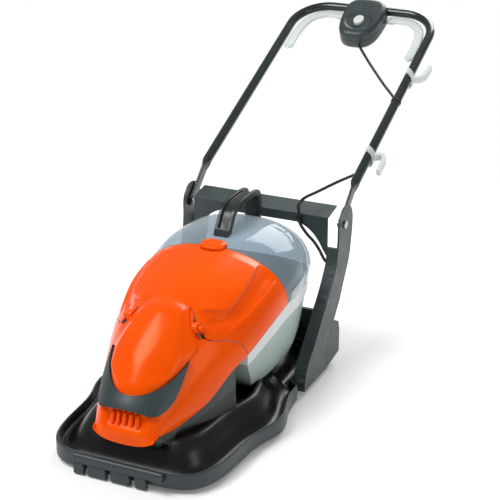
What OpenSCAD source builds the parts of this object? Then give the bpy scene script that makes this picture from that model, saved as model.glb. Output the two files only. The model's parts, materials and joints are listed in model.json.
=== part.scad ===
/* [Body] */
// Half width of the moulded body at its widest
body_hw = 172; // [166:1:176]
// Setback of the window's rear from the hood's rear edge
body_set = 4; // [2:1:8]
// Height of the moulded body above the nose's lower edge
body_h = 274; // [262:1:286]
// Height of the nose's lower edge above the ground
nose_z = 76; // [72:1:80]
// Setback of the nose from the hood's front edge
nose_set = 15; // [12:1:20]
// Wall of the moulded body shells
shell_t = 2.6; // [2:0.1:3.4]
// Height of the loose front dome above the shroud
dome_lift = 5; // [4:0.5:7]
// Height of the latch button above the lid
latch_lift = 5; // [3:0.5:7]
// Height of the carry handle above the window
carry_h = 66; // [58:1:74]
// Width of the carry handle
carry_w = 36; // [30:1:40]
// Thickness of the carry handle's strap
carry_t = 14; // [12:1:17]

/* [Deck] */
// Half width of the hood
hood_hw = 191; // [187:1:197]
// Length of the hood
hood_len = 664; // [655:1:675]
// Distance of the hood's front edge ahead of the widest bulge
front_reach = 312; // [306:1:318]
// Height of the hood's rim above the ground
rim_z = 44; // [42:1:48]
// Height of the skirt's lower edge above the ground
skirt_z = 10; // [8:1:14]
// Height of the gutter inside the rim
gutter_z = 32; // [28:1:36]
// Height of the hood's plateau under the motor
plateau_z = 84; // [80:1:86]
// Height of the hood's floor under the grass box
floor_z = 58; // [54:1:62]
// Wall of the hood
hood_t = 3.5; // [3:0.1:4]
// Extra half width of the bulges beside the motor
bulge_w = 26; // [18:1:32]
// Depth of the recess that each leg stands in
leg_recess = 25.3; // [22:0.1:28]
// Half width of the front bar
bar_hw = 100; // [90:1:110]
// Depth of the front bar and its wear blocks
bar_t = 12.7; // [10:0.1:15]
// Height of the front bar
bar_h = 20; // [16:1:24]

/* [Lower handle] */
// Height of the lower handle's legs above the skirt
leg_h = 315; // [305:1:325]
// Fore and aft width of a leg at mid height
leg_w = 100; // [92:1:106]
// Width of a leg across the mower
leg_d = 28; // [25:1:32]
// Wall of the legs and the crossbar
leg_t = 4; // [3:0.5:5]
// Radius of a leg's round head
head_r = 41.5; // [39:0.5:44]
// Depth of the crossbar fore and aft
cross_d = 56; // [50:1:62]
// Depth of the crossbar's front lip
lip_h = 22; // [18:1:26]
// Radius of the pivot bolts
bolt_r = 5; // [4:0.25:6]

/* [Upper handle] */
// Radius of the handle tube
tube_r = 11; // [10:0.5:12]
// Slope of the handle above the ground
handle_slope = 24; // [20:1:30]
// Slope of the flattened tube ends above the ground
tang_slope = 41.7; // [38:0.1:45]
// Length of the flattened tube ends
tang_l = 110; // [100:1:120]
// Thickness of the flattened tube ends
tang_t = 6; // [5:0.5:7]
// Length of the handle from its crimps to its top bar
handle_l = 633; // [600:1:660]
// Bend radius of the handle's corners
bend_r = 88; // [80:1:95]
// Half width of the switch box
box_hw = 55; // [50:1:60]
// Length of the switch box along the handle
box_l = 150; // [140:1:160]
// Half thickness of the switch box
box_ht = 27; // [25:0.5:30]
// Width of the switch levers
lever_w = 20; // [16:1:23]
// Thickness of the switch levers
lever_t = 9; // [7:0.5:11]
// Radius of the lock button
lock_r = 13; // [11:0.5:14]
// Reach of the cable hooks from the tube's axis
hook_reach = 45; // [40:1:46]
// Radius of the cable
cable_r = 3.5; // [3:0.1:4]

/* [Motor] */
// Setback of the motor's axis from the hood's front edge
motor_set = 182; // [178:1:186]
// Radius of the motor can
can_r = 42; // [38:1:46]
// Height of the motor can
can_h = 100; // [90:1:106]
// Radius of the motor shaft
shaft_r = 4; // [3:0.25:5]
// Radius of the ball bearings
bearing_r = 11; // [10:0.5:13]
// Width of the ball bearings
bearing_w = 7; // [6:0.5:9]
// Radius of the cutting blade
blade_r = 165; // [150:1:168]
// Width of the cutting blade
blade_w = 46; // [40:1:52]
// Radius of the fan
fan_r = 80; // [70:1:82]

/* [Fits] */
// Gap between neighbouring shells along their seam
seam_gap = 2.4; // [1.6:0.1:3]
// Gap between pieces that sit on each other
seat = 0.3; // [0.2:0.05:0.5]
// Radial clearance of a turning pin in its bore
running = 0.05; // [0.02:0.01:0.08]

/* [Hidden] */
$fn = 48;
// Overrun of every cut past the face that it goes through
over = 1;

// Colours
orange = "#ff5a10";
dark_grey = "#505c5c";
hood_black = "#1a1d1f";
pale_grey = "#bac6c4";
light_grey = "#d8e0e0";
tube_black = "#2a3836";
steel = "#9aa0a4";
copper = "#b06a3a";

// Blends and splines
function lerp(a, b, v) = a + (b - a) * v;
function clamped(v) = min(max(v, 0), 1);
function ease(v) = let (c = clamped(v)) c * c * (3 - 2 * c);
function bell(v) = exp(-v * v);
function spow(v, p) = sign(v) * pow(abs(v), p);
function span_of(rows, s, i = 0) =
    i >= len(rows) - 2 || s < rows[i + 1][0] ? i : span_of(rows, s, i + 1);
function row_slope(rows, i) =
    let (a = max(i - 1, 0), b = min(i + 1, len(rows) - 1))
    (rows[b] - rows[a]) / (rows[b][0] - rows[a][0]);
// Row of a hand-chosen table at s, by cubic pieces through its rows
function row_at(rows, s) =
    let (
        i = span_of(rows, s),
        h = rows[i + 1][0] - rows[i][0],
        v = (s - rows[i][0]) / h,
        v2 = v * v,
        v3 = v2 * v
    )
    rows[i] * (2 * v3 - 3 * v2 + 1) + row_slope(rows, i) * h * (v3 - 2 * v2 + v)
        + rows[i + 1] * (3 * v2 - 2 * v3) + row_slope(rows, i + 1) * h * (v3 - v2);
// Points of a smooth curve through hand-chosen points, with steps pieces between two of them
function curve(points, steps) =
    let (rows = [for (i = [0:len(points) - 1]) concat([i], points[i])])
    [
        for (k = [0:(len(points) - 1) * steps])
            let (r = row_at(rows, k / steps))
            [for (c = [1:len(r) - 1]) r[c]]
    ];

// Closed solids from grids of points
function two_triangles(a, b, c, d) = [[a, b, c], [a, c, d]];
module slab(outer, inner) {
    nu = len(outer);
    nv = len(outer[0]);
    n = nu * nv;
    points = [for (grid = [outer, inner]) for (line = grid) for (p = line) p];
    faces = [
        for (i = [0:nu - 2]) for (j = [0:nv - 2])
            let (a = i * nv + j)
            each concat(two_triangles(a, a + 1, a + nv + 1, a + nv),
                two_triangles(n + a + nv, n + a + nv + 1, n + a + 1, n + a)),
        for (j = [0:nv - 2])
            let (b = n - nv + j)
            each concat(two_triangles(j + 1, j, n + j, n + j + 1),
                two_triangles(b, b + 1, n + b + 1, n + b)),
        for (i = [0:nu - 2])
            let (a = i * nv, b = a + nv - 1)
            each concat(two_triangles(a, a + nv, n + a + nv, n + a),
                two_triangles(b + nv, b, n + b, n + b + nv))
    ];
    polyhedron(points, faces);
}
// Skin over rings of points; the last ring joins the first, or both ends are capped
module skin(rings, wrap = false) {
    nk = len(rings);
    nj = len(rings[0]);
    last = (nk - 1) * nj;
    points = [for (ring = rings) for (p = ring) p];
    strips = [
        for (k = [0:nk - (wrap ? 1 : 2)]) for (j = [0:nj - 1])
            let (k2 = (k + 1) % nk, j2 = (j + 1) % nj)
            each two_triangles(k * nj + j, k2 * nj + j, k2 * nj + j2, k * nj + j2)
    ];
    caps = wrap ? [] : [[for (j = [0:nj - 1]) j], [for (j = [nj - 1:-1:0]) last + j]];
    polyhedron(points, concat(strips, caps));
}
// Ring frames carried along a path without twist
function unit(v) = v / norm(v);
function path_dir(path, i) = unit(path[min(i + 1, len(path) - 1)] - path[max(i - 1, 0)]);
function carried(n, d) = unit(n - d * (n * d));
function normals(path, i, n) = i >= len(path) ? [] :
    let (m = carried(n, path_dir(path, i))) concat([m], normals(path, i + 1, m));
function first_normal(d) = carried(abs(d[2]) < 0.8 ? [0, 0, 1] : [1, 0, 0], d);
module cord(points, r, sides, steps) {
    path = curve(points, steps);
    ns = normals(path, 0, first_normal(path_dir(path, 0)));
    skin([
        for (i = [0:len(path) - 1])
            let (n = ns[i], b = cross(path_dir(path, i), n))
            [for (k = [0:sides - 1]) path[i] + r * (n * cos(360 * k / sides) + b * sin(360 * k / sides))]
    ]);
}
// Extrudes an outline of [y, z] points across the mower
module across(x0, x1) {
    translate([x0, 0, 0]) rotate([90, 0, 90]) linear_extrude(x1 - x0) children();
}
module both_sides() {
    children();
    mirror([1, 0, 0]) children();
}

// Hood's plan and section
hood_y = hood_len / 2 - front_reach;
hood_front_y = -front_reach;
hood_rear_y = hood_len - front_reach;
motor_y = hood_front_y + motor_set;
plan_power = 5.5;
bulge_set = 118;
bulge_y = motor_y + bulge_set;
bulge_run = 68;
// Place of the legs' front edge ahead of the hood's rear edge, and the recess that they stand in
foot_set = 191;
leg_room = 9;
recess_run = 26;
leg_foot_y = hood_rear_y - foot_set;
recess_y = leg_foot_y - leg_room - recess_run;
fall_set = 68;
fall_y = motor_y + fall_set;
fall_run = 40;
// Width of the sloped border between the rim and the plateau
border_w = 85;
hole_r = 45;
// Border section: share of the border's width, share of the rise from gutter to plateau
border_shares = [[0.14, 0], [0.31, 0.04], [0.44, 0.3], [0.54, 0.58], [0.71, 0.88], [1, 1]];
lip_share = 0.06;
function hood_extra(y) = bulge_w * bell((y - bulge_y) / bulge_run)
    - leg_recess * ease((y - recess_y) / recess_run);
function hood_plan(a, d) =
    let (
        w = hood_hw - d,
        l = hood_len / 2 - d,
        r = 1 / pow(pow(abs(cos(a)) / w, plan_power) + pow(abs(sin(a)) / l, plan_power), 1 / plan_power),
        y = hood_y + r * sin(a)
    )
    [r * cos(a) * (1 + hood_extra(y) / hood_hw), y];
function hood_top(y) = lerp(plateau_z, floor_z, ease((y - fall_y) / fall_run));
function hood_z(share, y) = lerp(gutter_z, hood_top(y), row_at(border_shares, share)[1]);
function on_border(a, share, drop) =
    let (q = hood_plan(a, border_w * share)) [q[0], q[1], hood_z(share, q[1]) - drop];
function on_plateau(a, v, drop) =
    let (
        q = hood_plan(a, border_w),
        c = [0, motor_y],
        h = c + hole_r * unit(q - c),
        m = lerp(q, h, v)
    )
    [m[0], m[1], hood_top(m[1]) - drop];
function on_rim(a, d, z) = let (q = hood_plan(a, d)) [q[0], q[1], z];
hood_sides = 72;
hood_angles = [for (k = [0:hood_sides - 1]) 360 * k / hood_sides];
plateau_shares = [0.2, 0.55, 0.8, 0.9, 1];
// Rings of the underside, as places in the two lists above
under_plateau = [4, 3, 2, 1, 0];
under_border = [5, 3, 2, 1];
module hood() {
    border = [for (r = border_shares) r[0]];
    color(hood_black) skin(concat(
        [for (z = [skirt_z, rim_z]) [for (a = hood_angles) on_rim(a, 0, z)]],
        [[for (a = hood_angles) on_rim(a, border_w * lip_share, rim_z)]],
        [for (s = border) [for (a = hood_angles) on_border(a, s, 0)]],
        [for (v = plateau_shares) [for (a = hood_angles) on_plateau(a, v, 0)]],
        [for (i = under_plateau) [for (a = hood_angles) on_plateau(a, plateau_shares[i], hood_t)]],
        [for (i = under_border) [for (a = hood_angles) on_border(a, border[i], hood_t)]],
        [for (z = [gutter_z - hood_t, skirt_z]) [for (a = hood_angles) on_rim(a, hood_t, z)]]
    ), wrap = true);
}

// Front bar and its wear blocks, seated on the skirt
bar_y = hood_front_y - seat;
bar_proud = 2;
bar_top = rim_z + bar_proud;
block_h = bar_top - bar_h;
bar_bevel_share = 0.3;
// Left and right ends of the wear blocks, as shares of the bar's half width
block_shares = [[-0.98, -0.75], [-0.66, -0.25], [-0.14, 0.28], [0.4, 0.64]];
module front_bar() {
    y1 = bar_y - bar_t;
    bevel = bar_t * bar_bevel_share;
    color(dark_grey) across(-bar_hw, bar_hw)
        polygon([[bar_y, block_h], [bar_y, bar_top], [y1 + bevel, bar_top],
            [y1, bar_top - bevel], [y1, block_h]]);
}
module wear_blocks() {
    y1 = bar_y - bar_t;
    bevel = bar_t * bar_bevel_share;
    color(dark_grey) for (b = block_shares) across(b[0] * bar_hw, b[1] * bar_hw)
        polygon([[bar_y, 0], [bar_y, block_h], [y1, block_h], [y1, bevel], [y1 + bevel, 0]]);
}

// Body surface: stations along the body, with the share of its half width, then side and top
// places as shares of its length and height, and the roundness of the section
nose_y = hood_front_y + nose_set;
body_len = hood_len - nose_set - body_set;
body_rear_y = nose_y + body_len;
body_shares = [
    [-1, 0.384, 0.01, 0.077, 0, 0, 0.84],
    [-0.85, 0.424, 0.042, 0.078, 0, 0.106, 0.92],
    [-0.7, 0.488, 0.088, 0.084, 0.011, 0.234, 1],
    [-0.5, 0.599, 0.158, 0.128, 0.062, 0.372, 1.1],
    [-0.3, 0.698, 0.228, 0.193, 0.143, 0.569, 1.12],
    [-0.1, 0.812, 0.327, 0.339, 0.259, 0.759, 1.1],
    [0, 0.884, 0.394, 0.401, 0.335, 0.818, 1.08],
    [0.25, 0.97, 0.526, 0.526, 0.476, 0.912, 1],
    [0.5, 0.985, 0.653, 0.584, 0.633, 0.974, 0.92],
    [0.65, 0.985, 0.755, 0.599, 0.746, 1.012, 0.8],
    [0.8, 0.925, 0.84, 0.606, 0.894, 1.007, 0.8],
    [0.9, 0.861, 0.896, 0.609, 0.962, 0.935, 0.87],
    [0.96, 0.824, 0.926, 0.611, 0.994, 0.807, 0.91],
    [1, 0.767, 0.947, 0.613, 1, 0.599, 0.93]
];
function body_pt(s, t) =
    let (r = row_at(body_shares, s), c = spow(cos(t), r[6]), h = pow(sin(t), r[6]))
    [body_hw * r[1] * c,
        nose_y + body_len * lerp(r[2], r[4], h),
        nose_z + body_h * lerp(r[3], r[5], h)];
tiny_share = 0.004;
tiny_angle = 0.5;
function body_normal(s, t) = unit(cross(
    body_pt(min(s + tiny_share, 1), t) - body_pt(max(s - tiny_share, -1), t),
    body_pt(s, min(t + tiny_angle, 180)) - body_pt(s, max(t - tiny_angle, 0))));
function body_off(st, d) = body_pt(st[0], st[1]) + d * body_normal(st[0], st[1]);
// Angle over the body for a share w from -1 at the left seam to 1 at the right one
function arch(w) = 90 * (1 - spow(w, 1.3));
// Piece of the body surface: at(u, v) gives station and angle, outer(u, v) and inner(u, v) the offsets
module body_piece(at, outer, inner, nu, nv) {
    us = [for (i = [0:nu]) i / nu];
    vs = [for (j = [0:nv]) j / nv];
    slab([for (u = us) [for (v = vs) body_off(at(u, v), outer(u, v))]],
        [for (u = us) [for (v = vs) body_off(at(u, v), inner(u, v))]]);
}
// Station run that a millimetre along the top of the body takes
top_run_share = 0.66;
station_share = 2 / body_len * top_run_share;
gap_share = seam_gap / 2 * station_share;
knuckle_angle = 54;
pocket_angle = 56;
lobe_angle = 46;
lobe_spread = 19;
pocket_spread = 10;
lobe_share = 0.11;
pocket_share = 0.044;
// Angle of a place on the body up from the nearer seam
function from_side(t) = 90 - abs(t - 90);
function lobe(t) = bell((from_side(t) - lobe_angle) / lobe_spread);
function pocket(t) = bell((from_side(t) - pocket_angle) / pocket_spread);
function seam_at(t) = -lobe_share * lobe(t);
function shroud_end(t) = seam_at(t) - gap_share - pocket_share * pocket(t);
function lid_start(t) = seam_at(t) + gap_share + pocket_share * pocket(t);
window_share = 0.5;
latch_half_angle = 9;
latch_share = 0.05;
function notch(t) = latch_share * sqrt(max(1 - pow((t - 90) / latch_half_angle, 2), 0));
function lid_end(t) = window_share - gap_share - notch(t);
function window_start(t) = window_share + gap_share + notch(t);
function across_angle(v) = arch(1 - 2 * v);
// Scoop in the nose behind the ribs
scoop_d = 3;
scoop_shares = [-0.745, 0.05];
scoop_spread = 30;
function scoop(st) = scoop_d * bell((st[0] - scoop_shares[0]) / scoop_shares[1])
    * bell(pow((st[1] - 90) / scoop_spread, 3));
shroud_rows = 14;
shroud_columns = 32;
module shroud() {
    at = function(u, v) let (t = across_angle(v)) [lerp(-1, shroud_end(t), u), t];
    outer = function(u, v) -scoop(at(u, v));
    inner = function(u, v) -scoop(at(u, v)) - shell_t;
    color(orange) body_piece(at, outer, inner, shroud_rows, shroud_columns);
}
// Lid with a ridge along each shoulder and a hollow below it, both fading at its ends
ridge_h = 4;
ridge_angle = 52;
ridge_spread = 7;
hollow_angle = 35;
hollow_spread = 12;
function ridge(u, t) = ridge_h * (bell((from_side(t) - ridge_angle) / ridge_spread)
    - bell((from_side(t) - hollow_angle) / hollow_spread)) * ease(3 * u) * ease(3 * (1 - u));
module lid_shell() {
    at = function(u, v) let (t = across_angle(v)) [lerp(lid_start(t), lid_end(t), u), t];
    outer = function(u, v) ridge(u, across_angle(v));
    inner = function(u, v) ridge(u, across_angle(v)) - shell_t;
    color(orange) body_piece(at, outer, inner, 9, 40);
}
module window() {
    at = function(u, v) let (t = across_angle(v)) [lerp(window_start(t), 1, u), t];
    outer = function(u, v) 0;
    inner = function(u, v) -shell_t;
    color("#73818c", 0.5) body_piece(at, outer, inner, 10, 32);
}
// Button in the notch between lid and window
latch_fit_share = 0.88;
latch_edge_share = 0.5;
module latch_button() {
    at = function(u, v)
        let (
            t = 90 + latch_half_angle * latch_fit_share * (2 * v - 1),
            n = notch(t) * latch_fit_share + gap_share / 2
        )
        [window_share + lerp(-n, n, u), t];
    outer = function(u, v)
        latch_lift * lerp(latch_edge_share, 1, sqrt(sin(180 * clamped(u))) * sqrt(sin(180 * clamped(v))));
    inner = function(u, v) -shell_t * 2;
    color(orange) body_piece(at, outer, inner, 6, 10);
}

// Front dome and the collar round its lower edge, loose covers over the shroud
// Gap under the loose covers
cover_gap = 0.8;
dome_mid_share = -0.2;
dome_share = 0.35;
dome_angle = 43;
dome_rear_angle = 20;
dome_edge_share = 0.15;
collar_share = 0.12;
collar_angle = 7;
collar_sweep = 84;
collar_lift_share = 0.8;
// Squareness of the collar's outer edge, and the drop of its lower corners
collar_power = 0.4;
corner_share = 0.03;
function dome_front(w) = dome_mid_share - dome_share * sqrt(max(1 - w * w, 0));
function dome_half_angle(u) = lerp(dome_angle, dome_rear_angle, ease(1.5 * u - 0.5));
function dome_at(u, v) =
    let (w = 2 * v - 1, t = 90 + w * dome_half_angle(u))
    [lerp(dome_front(w), shroud_end(t) + pocket_share * pocket(t), u), t];
function dome_crown(u, v) = cover_gap + dome_lift
    * lerp(dome_edge_share, 1, ease(4 * u) * ease(4 * (1 - u)) * ease(6 * v) * ease(6 * (1 - v)));
module dome_cover() {
    at = function(u, v) dome_at(u, v);
    outer = function(u, v) dome_crown(u, v);
    inner = function(u, v) cover_gap;
    color(orange) body_piece(at, outer, inner, 12, 18);
}
function collar_at(u, v) =
    let (
        a = collar_sweep * (2 * v - 1),
        w = (1 - u) * cos(90 * pow(abs(2 * v - 1), 4)),
        c = cos(a),
        s = sin(a),
        corner = corner_share * (1 - pow(cos(2 * a), 2)),
        far = (dome_share + collar_share) * spow(c, collar_power) + corner
    )
    [dome_mid_share - gap_share - lerp(dome_share * c, far, w),
        90 + lerp((dome_angle + 1) * s, (dome_angle + collar_angle) * spow(s, collar_power), w)];
module trim_collar() {
    at = function(u, v) collar_at(u, v);
    outer = function(u, v) cover_gap + dome_lift * collar_lift_share;
    inner = function(u, v) cover_gap;
    color(dark_grey) body_piece(at, outer, inner, 4, 28);
}
// Five upright ribs across the scoop
rib_count = 5;
rib_pitch = 13;
rib_r = 4;
rib_shares = [-0.81, -0.735];
module nose_ribs() {
    color(orange) for (k = [0:rib_count - 1]) {
        x = (k - (rib_count - 1) / 2) * rib_pitch;
        ends = [
            for (s = rib_shares)
                let (r = row_at(body_shares, s), t = acos(spow(x / (body_hw * r[1]), 1 / r[6])))
                body_off([s, t], rib_r + 2 * seat - scoop([s, t]))
        ];
        hull() for (p = ends) translate(p) sphere(rib_r, $fn = 10);
    }
}

// Dark wall that carries the shroud on the hood
wall_in = 5;
wall_t = 3;
wall_rows = 3;
wall_gain_share = 1.25;
// Gaps between the wall and the shroud above it, and the hood under it
wall_gap = 2.4;
foot_gap = 4;
foot_share = 0.58;
// Lower edge of the shroud from the right seam round the nose to the left seam
function side_stations(t) = [for (i = [1:shroud_rows - 1]) [lerp(-1, shroud_end(t), i / shroud_rows), t]];
function reversed(list) = [for (i = [len(list) - 1:-1:0]) list[i]];
shroud_edge = concat(reversed(side_stations(0)),
    [for (j = [0:shroud_columns]) [-1, across_angle(j / shroud_columns)]], side_stations(180));
function wall_pt(u, st, d) =
    let (
        e = body_off(st, -wall_in) - [0, 0, wall_gap],
        a = atan2(e[1] - hood_y, e[0]),
        b = -90 + (a + 90) * wall_gain_share,
        q = hood_plan(b, border_w * foot_share),
        f = [q[0], q[1], hood_z(foot_share, q[1]) + foot_gap],
        p = lerp(e, f, u),
        c = [0, hood_y]
    )
    p - d * concat(unit([p[0], p[1]] - c), [0]);
module motor_housing() {
    us = [for (i = [0:wall_rows]) i / wall_rows];
    color(dark_grey) slab([for (st = shroud_edge) [for (u = us) wall_pt(u, st, 0)]],
        [for (st = shroud_edge) [for (u = us) wall_pt(u, st, wall_t)]]);
}

// Grass box: rim under the edge of lid and window, floor on the hood's floor
seam_front = body_pt(0, 0);
tub_len = body_rear_y - seam_front[1];
tub_floor = floor_z + seat;
rim_gap = 0.8;
rim_side = 13;
rim_rear = 12;
rim_front = 8;
// Share of the height, share of the half width, front and rear setback as shares of the length
tub_shares = [[0, 0.7, 0.27, 0.14], [0.05, 0.77, 0.22, 0.1],
    [0.3, 0.88, 0.14, 0.055], [0.6, 0.94, 0.065, 0.02],
    [0.8, 0.965, 0.02, 0.008], [0.82, 1, 0, 0], [1, 1, 0, 0]];
tub_rim = concat([for (i = [0:rim_side]) body_pt(i / rim_side, 0)],
    [for (j = [1:rim_rear]) body_pt(1, 180 * j / rim_rear)],
    [for (i = [1:rim_side]) body_pt(1 - i / rim_side, 180)],
    [for (k = [1:rim_front - 1])
        [lerp(-1, 1, k / rim_front) * seam_front[0], seam_front[1], seam_front[2]]]);
function tub_ring(r, d, lift) = [
    for (p = tub_rim)
        [p[0] * (r[1] - d / body_hw),
            seam_front[1] + r[2] * tub_len + d
                + (p[1] - seam_front[1]) * (1 - r[2] - r[3] - 2 * d / tub_len),
            lerp(tub_floor, p[2] - rim_gap, r[0]) + lift]
];
module tub() {
    n = len(tub_shares) - 1;
    color(pale_grey) skin(concat(
        [for (i = [0:n]) tub_ring(tub_shares[i], 0, 0)],
        [for (i = [n:-1:0]) if (i != n - 1) tub_ring(tub_shares[i], shell_t, i == 0 ? shell_t : 0)]));
}

// Hinge between grass box and lid: pegs on ears of the box, eyes on arms of the lid
knuckle_rise = 3;
hinge = body_off([seam_at(knuckle_angle), knuckle_angle], knuckle_rise);
eye_r = 8.5;
eye_w = 12;
peg_r = 3;
ear_w = 7;
ear_r = 5.5;
ear_h = 36;
eye_arm_share = 0.09;
function under_lid(s, d) = let (p = body_off([s, knuckle_angle], -shell_t - seat)) [p[1], p[2] - d];
module hinge_bar(x0, x1, r) {
    translate([x0, hinge[1], hinge[2]]) rotate([0, 90, 0]) cylinder(r = r, h = x1 - x0);
}
module lid_knuckles() {
    s = lid_start(knuckle_angle) + gap_share;
    arm = [[hinge[1], hinge[2] - eye_r], [hinge[1], hinge[2] - eye_r / 4], under_lid(s, 0),
        under_lid(s + eye_arm_share, 0), under_lid(s + eye_arm_share, eye_r / 2), under_lid(s, eye_r)];
    color(orange) both_sides() difference() {
        union() {
            hinge_bar(hinge[0] - eye_w, hinge[0], eye_r);
            across(hinge[0] - eye_w, hinge[0]) polygon(arm);
        }
        hinge_bar(hinge[0] - eye_w - over, hinge[0] + over, peg_r + running);
    }
}
module tub_pegs() {
    x0 = hinge[0] + seat;
    y = seam_front[1] - seat;
    z = seam_front[2] - rim_gap;
    ear = [[hinge[1] - ear_r, hinge[2]], [hinge[1] + ear_r, hinge[2]],
        [y, z], [y, z - ear_h], [y - ear_r, z - ear_h],
        [y - ear_r * 2, z - ear_h / 2]];
    color(dark_grey) both_sides() {
        hinge_bar(hinge[0] - eye_w, x0 + ear_w, peg_r);
        hinge_bar(x0, x0 + ear_w, ear_r);
        across(x0, x0 + ear_w) polygon(ear);
    }
}

// Carry handle: a grooved strap that stands on the window
carry_front_shares = [0.58, 0.63];
carry_rear_shares = [0.862, 0.892];
// Share of the run between the feet, share of the handle's height
carry_shares = [[0, 0.12], [0.09, 0.43], [0.18, 0.69], [0.44, 0.9],
    [0.855, 0.96], [0.985, 0.83], [1.01, 0.5], [1.005, 0.17]];
groove_share = 0.6;
// How far the groove's ends stand from the strap's corner points
groove_lag_share = 0.4;
function top_yz(s, d) = let (p = body_off([s, 90], d)) [p[1], p[2]];
function side_of(path, i, d) =
    let (v = path[min(i + 1, len(path) - 1)] - path[max(i - 1, 0)]) path[i] + d * [-v[1], v[0]] / norm(v);
function band(path, a, b) = concat([for (i = [0:len(path) - 1]) side_of(path, i, a)],
    [for (i = [len(path) - 1:-1:0]) side_of(path, i, b)]);
module carry_handle() {
    front = [for (s = carry_front_shares) top_yz(s, seat)];
    rear = [for (s = carry_rear_shares) top_yz(s, seat)];
    f = (front[0] + front[1]) / 2;
    r = (rear[0] + rear[1]) / 2;
    path = curve([for (c = carry_shares)
        [lerp(f[0], r[0], c[0]), lerp(f[1], r[1], c[0]) + carry_h * c[1]]], 3);
    n = len(path) - 1;
    strap = concat([front[0]], [for (i = [0:n]) side_of(path, i, carry_t / 2)], [rear[1], rear[0]],
        [for (i = [n:-1:0]) side_of(path, i, -carry_t / 2)], [front[1]]);
    color(dark_grey) difference() {
        across(-carry_w / 2, carry_w / 2) polygon(strap);
        across(-carry_w / 2 * groove_share, carry_w / 2 * groove_share)
            polygon(band([for (i = [0:n - 5]) lerp(path[i], path[i + 1], groove_lag_share)],
                0, carry_t / 2 + over));
    }
}

// Motor on a plate over the hood's hole
plate_r = 64;
plate_t = 6;
plate_z = plateau_z + seat;
can_z = plate_z + plate_t;
can_t = 3;
can_top = can_z + can_h;
press = 0.02;
screw_r = 2;
screw_ring = 56;
armature_share = 0.7;
air_gap = 2;
stator_t = 9;
fan_z = 45;
fan_h = 25;
blade_z = 18;
blade_t = 3;
hub_r = 12;
nut_h = 6;
module at_motor(z) {
    translate([0, motor_y, z]) children();
}
module ring(r_out, r_in, h) {
    difference() {
        cylinder(r = r_out, h = h);
        translate([0, 0, -over]) cylinder(r = r_in, h = h + 2 * over);
    }
}
module screw_places() {
    for (a = [45:90:315]) rotate(a) translate([screw_ring, 0, 0]) children();
}
module motor_plate() {
    color(dark_grey) at_motor(plate_z) difference() {
        ring(plate_r, bearing_r + press, plate_t);
        screw_places() translate([0, 0, -over]) cylinder(r = screw_r + press, h = plate_t + 2 * over);
    }
}
module plate_screws() {
    color(steel) at_motor(plate_z) screw_places() {
        cylinder(r = screw_r, h = plate_t + screw_r);
        translate([0, 0, plate_t]) cylinder(r = screw_r * 2, h = screw_r * 1.5);
    }
}
module motor_can() {
    color(steel) at_motor(can_z) {
        ring(can_r, can_r - can_t, can_h);
        translate([0, 0, can_h - bearing_w]) ring(can_r - can_t / 2, bearing_r + press, bearing_w);
    }
}
module stator() {
    r = can_r - can_t - seat;
    color(copper) at_motor(can_z + can_h * (1 - armature_share) / 2)
        ring(r, r - stator_t, can_h * armature_share);
}
module bearings() {
    color(steel) for (z = [plate_z, can_top - bearing_w])
        at_motor(z) ring(bearing_r, shaft_r + running, bearing_w);
}
module motor_shaft() {
    color(steel) at_motor(blade_z - nut_h) cylinder(r = shaft_r, h = can_top + nut_h - blade_z + nut_h);
}
module armature() {
    r = can_r - can_t - seat - stator_t - air_gap;
    color(copper) at_motor(can_z + can_h * (1 - armature_share) / 2)
        ring(r, shaft_r + press, can_h * armature_share);
}
vane_count = 9;
module fan() {
    color(light_grey) at_motor(fan_z) {
        ring(hub_r, shaft_r + press, fan_h);
        translate([0, 0, fan_h - blade_t]) ring(fan_r, hub_r - over, blade_t);
        for (k = [0:vane_count - 1]) rotate(360 * k / vane_count) translate([hub_r - over, -blade_t / 2, 0])
            cube([fan_r - hub_r, blade_t, fan_h]);
    }
}
// Swept bar with drawn-in tips: share of the radius, share of the width
blade_shares = [[-1, -0.15], [-0.9, -0.5], [-0.3, -0.5], [0.3, -0.42],
    [0.9, -0.3], [1, -0.1], [1, 0.15], [0.9, 0.5],
    [0.3, 0.5], [-0.3, 0.42], [-0.9, 0.3], [-1, 0.1]];
blade_tip_share = 0.985;
module blade() {
    color(steel) at_motor(blade_z) difference() {
        linear_extrude(blade_t)
            polygon([for (p = blade_shares) [p[0] * blade_r * blade_tip_share, p[1] * blade_w]]);
        translate([0, 0, -over]) cylinder(r = shaft_r + press, h = blade_t + 2 * over);
    }
}
module blade_spacer() {
    color(steel) at_motor(blade_z + blade_t) ring(hub_r, shaft_r + press, fan_z - blade_z - blade_t);
}
module blade_bolt() {
    color(steel) at_motor(blade_z - nut_h) difference() {
        cylinder(r = hub_r, h = nut_h, $fn = 6);
        translate([0, 0, -over]) cylinder(r = shaft_r + press, h = nut_h + 2 * over);
    }
}

// Legs of the lower handle: channels that open inwards, with a round plate as head
cross_gap = 2;
leg_play = 2;
cross_y = body_rear_y + cross_gap;
leg_x0 = hood_hw - leg_recess + seat;
leg_x1 = leg_x0 + leg_d;
leg_z = skirt_z + leg_play;
head_z = leg_z + leg_h;
pivot_y = cross_y + head_r - bolt_r * 2;
pivot_z = head_z;
flange_top_share = 0.85;
// Share of the height, share of the run from foot to crossbar, share of the width
leg_shares = [[0, 0, 1.32], [0.105, 0.026, 1.26], [0.19, 0.12, 1.07], [0.29, 0.305, 1], [0.44, 0.537, 1],
    [0.55, 0.72, 0.87], [0.72, 0.937, 0.8], [0.8, 0.974, 0.79], [0.92, 1, 0.82], [1, 1, 0.83]];
function leg_front(s) = lerp(leg_foot_y, cross_y, row_at(leg_shares, s)[1]);
function leg_rear(s) = leg_front(s) + leg_w * row_at(leg_shares, s)[2];
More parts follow.
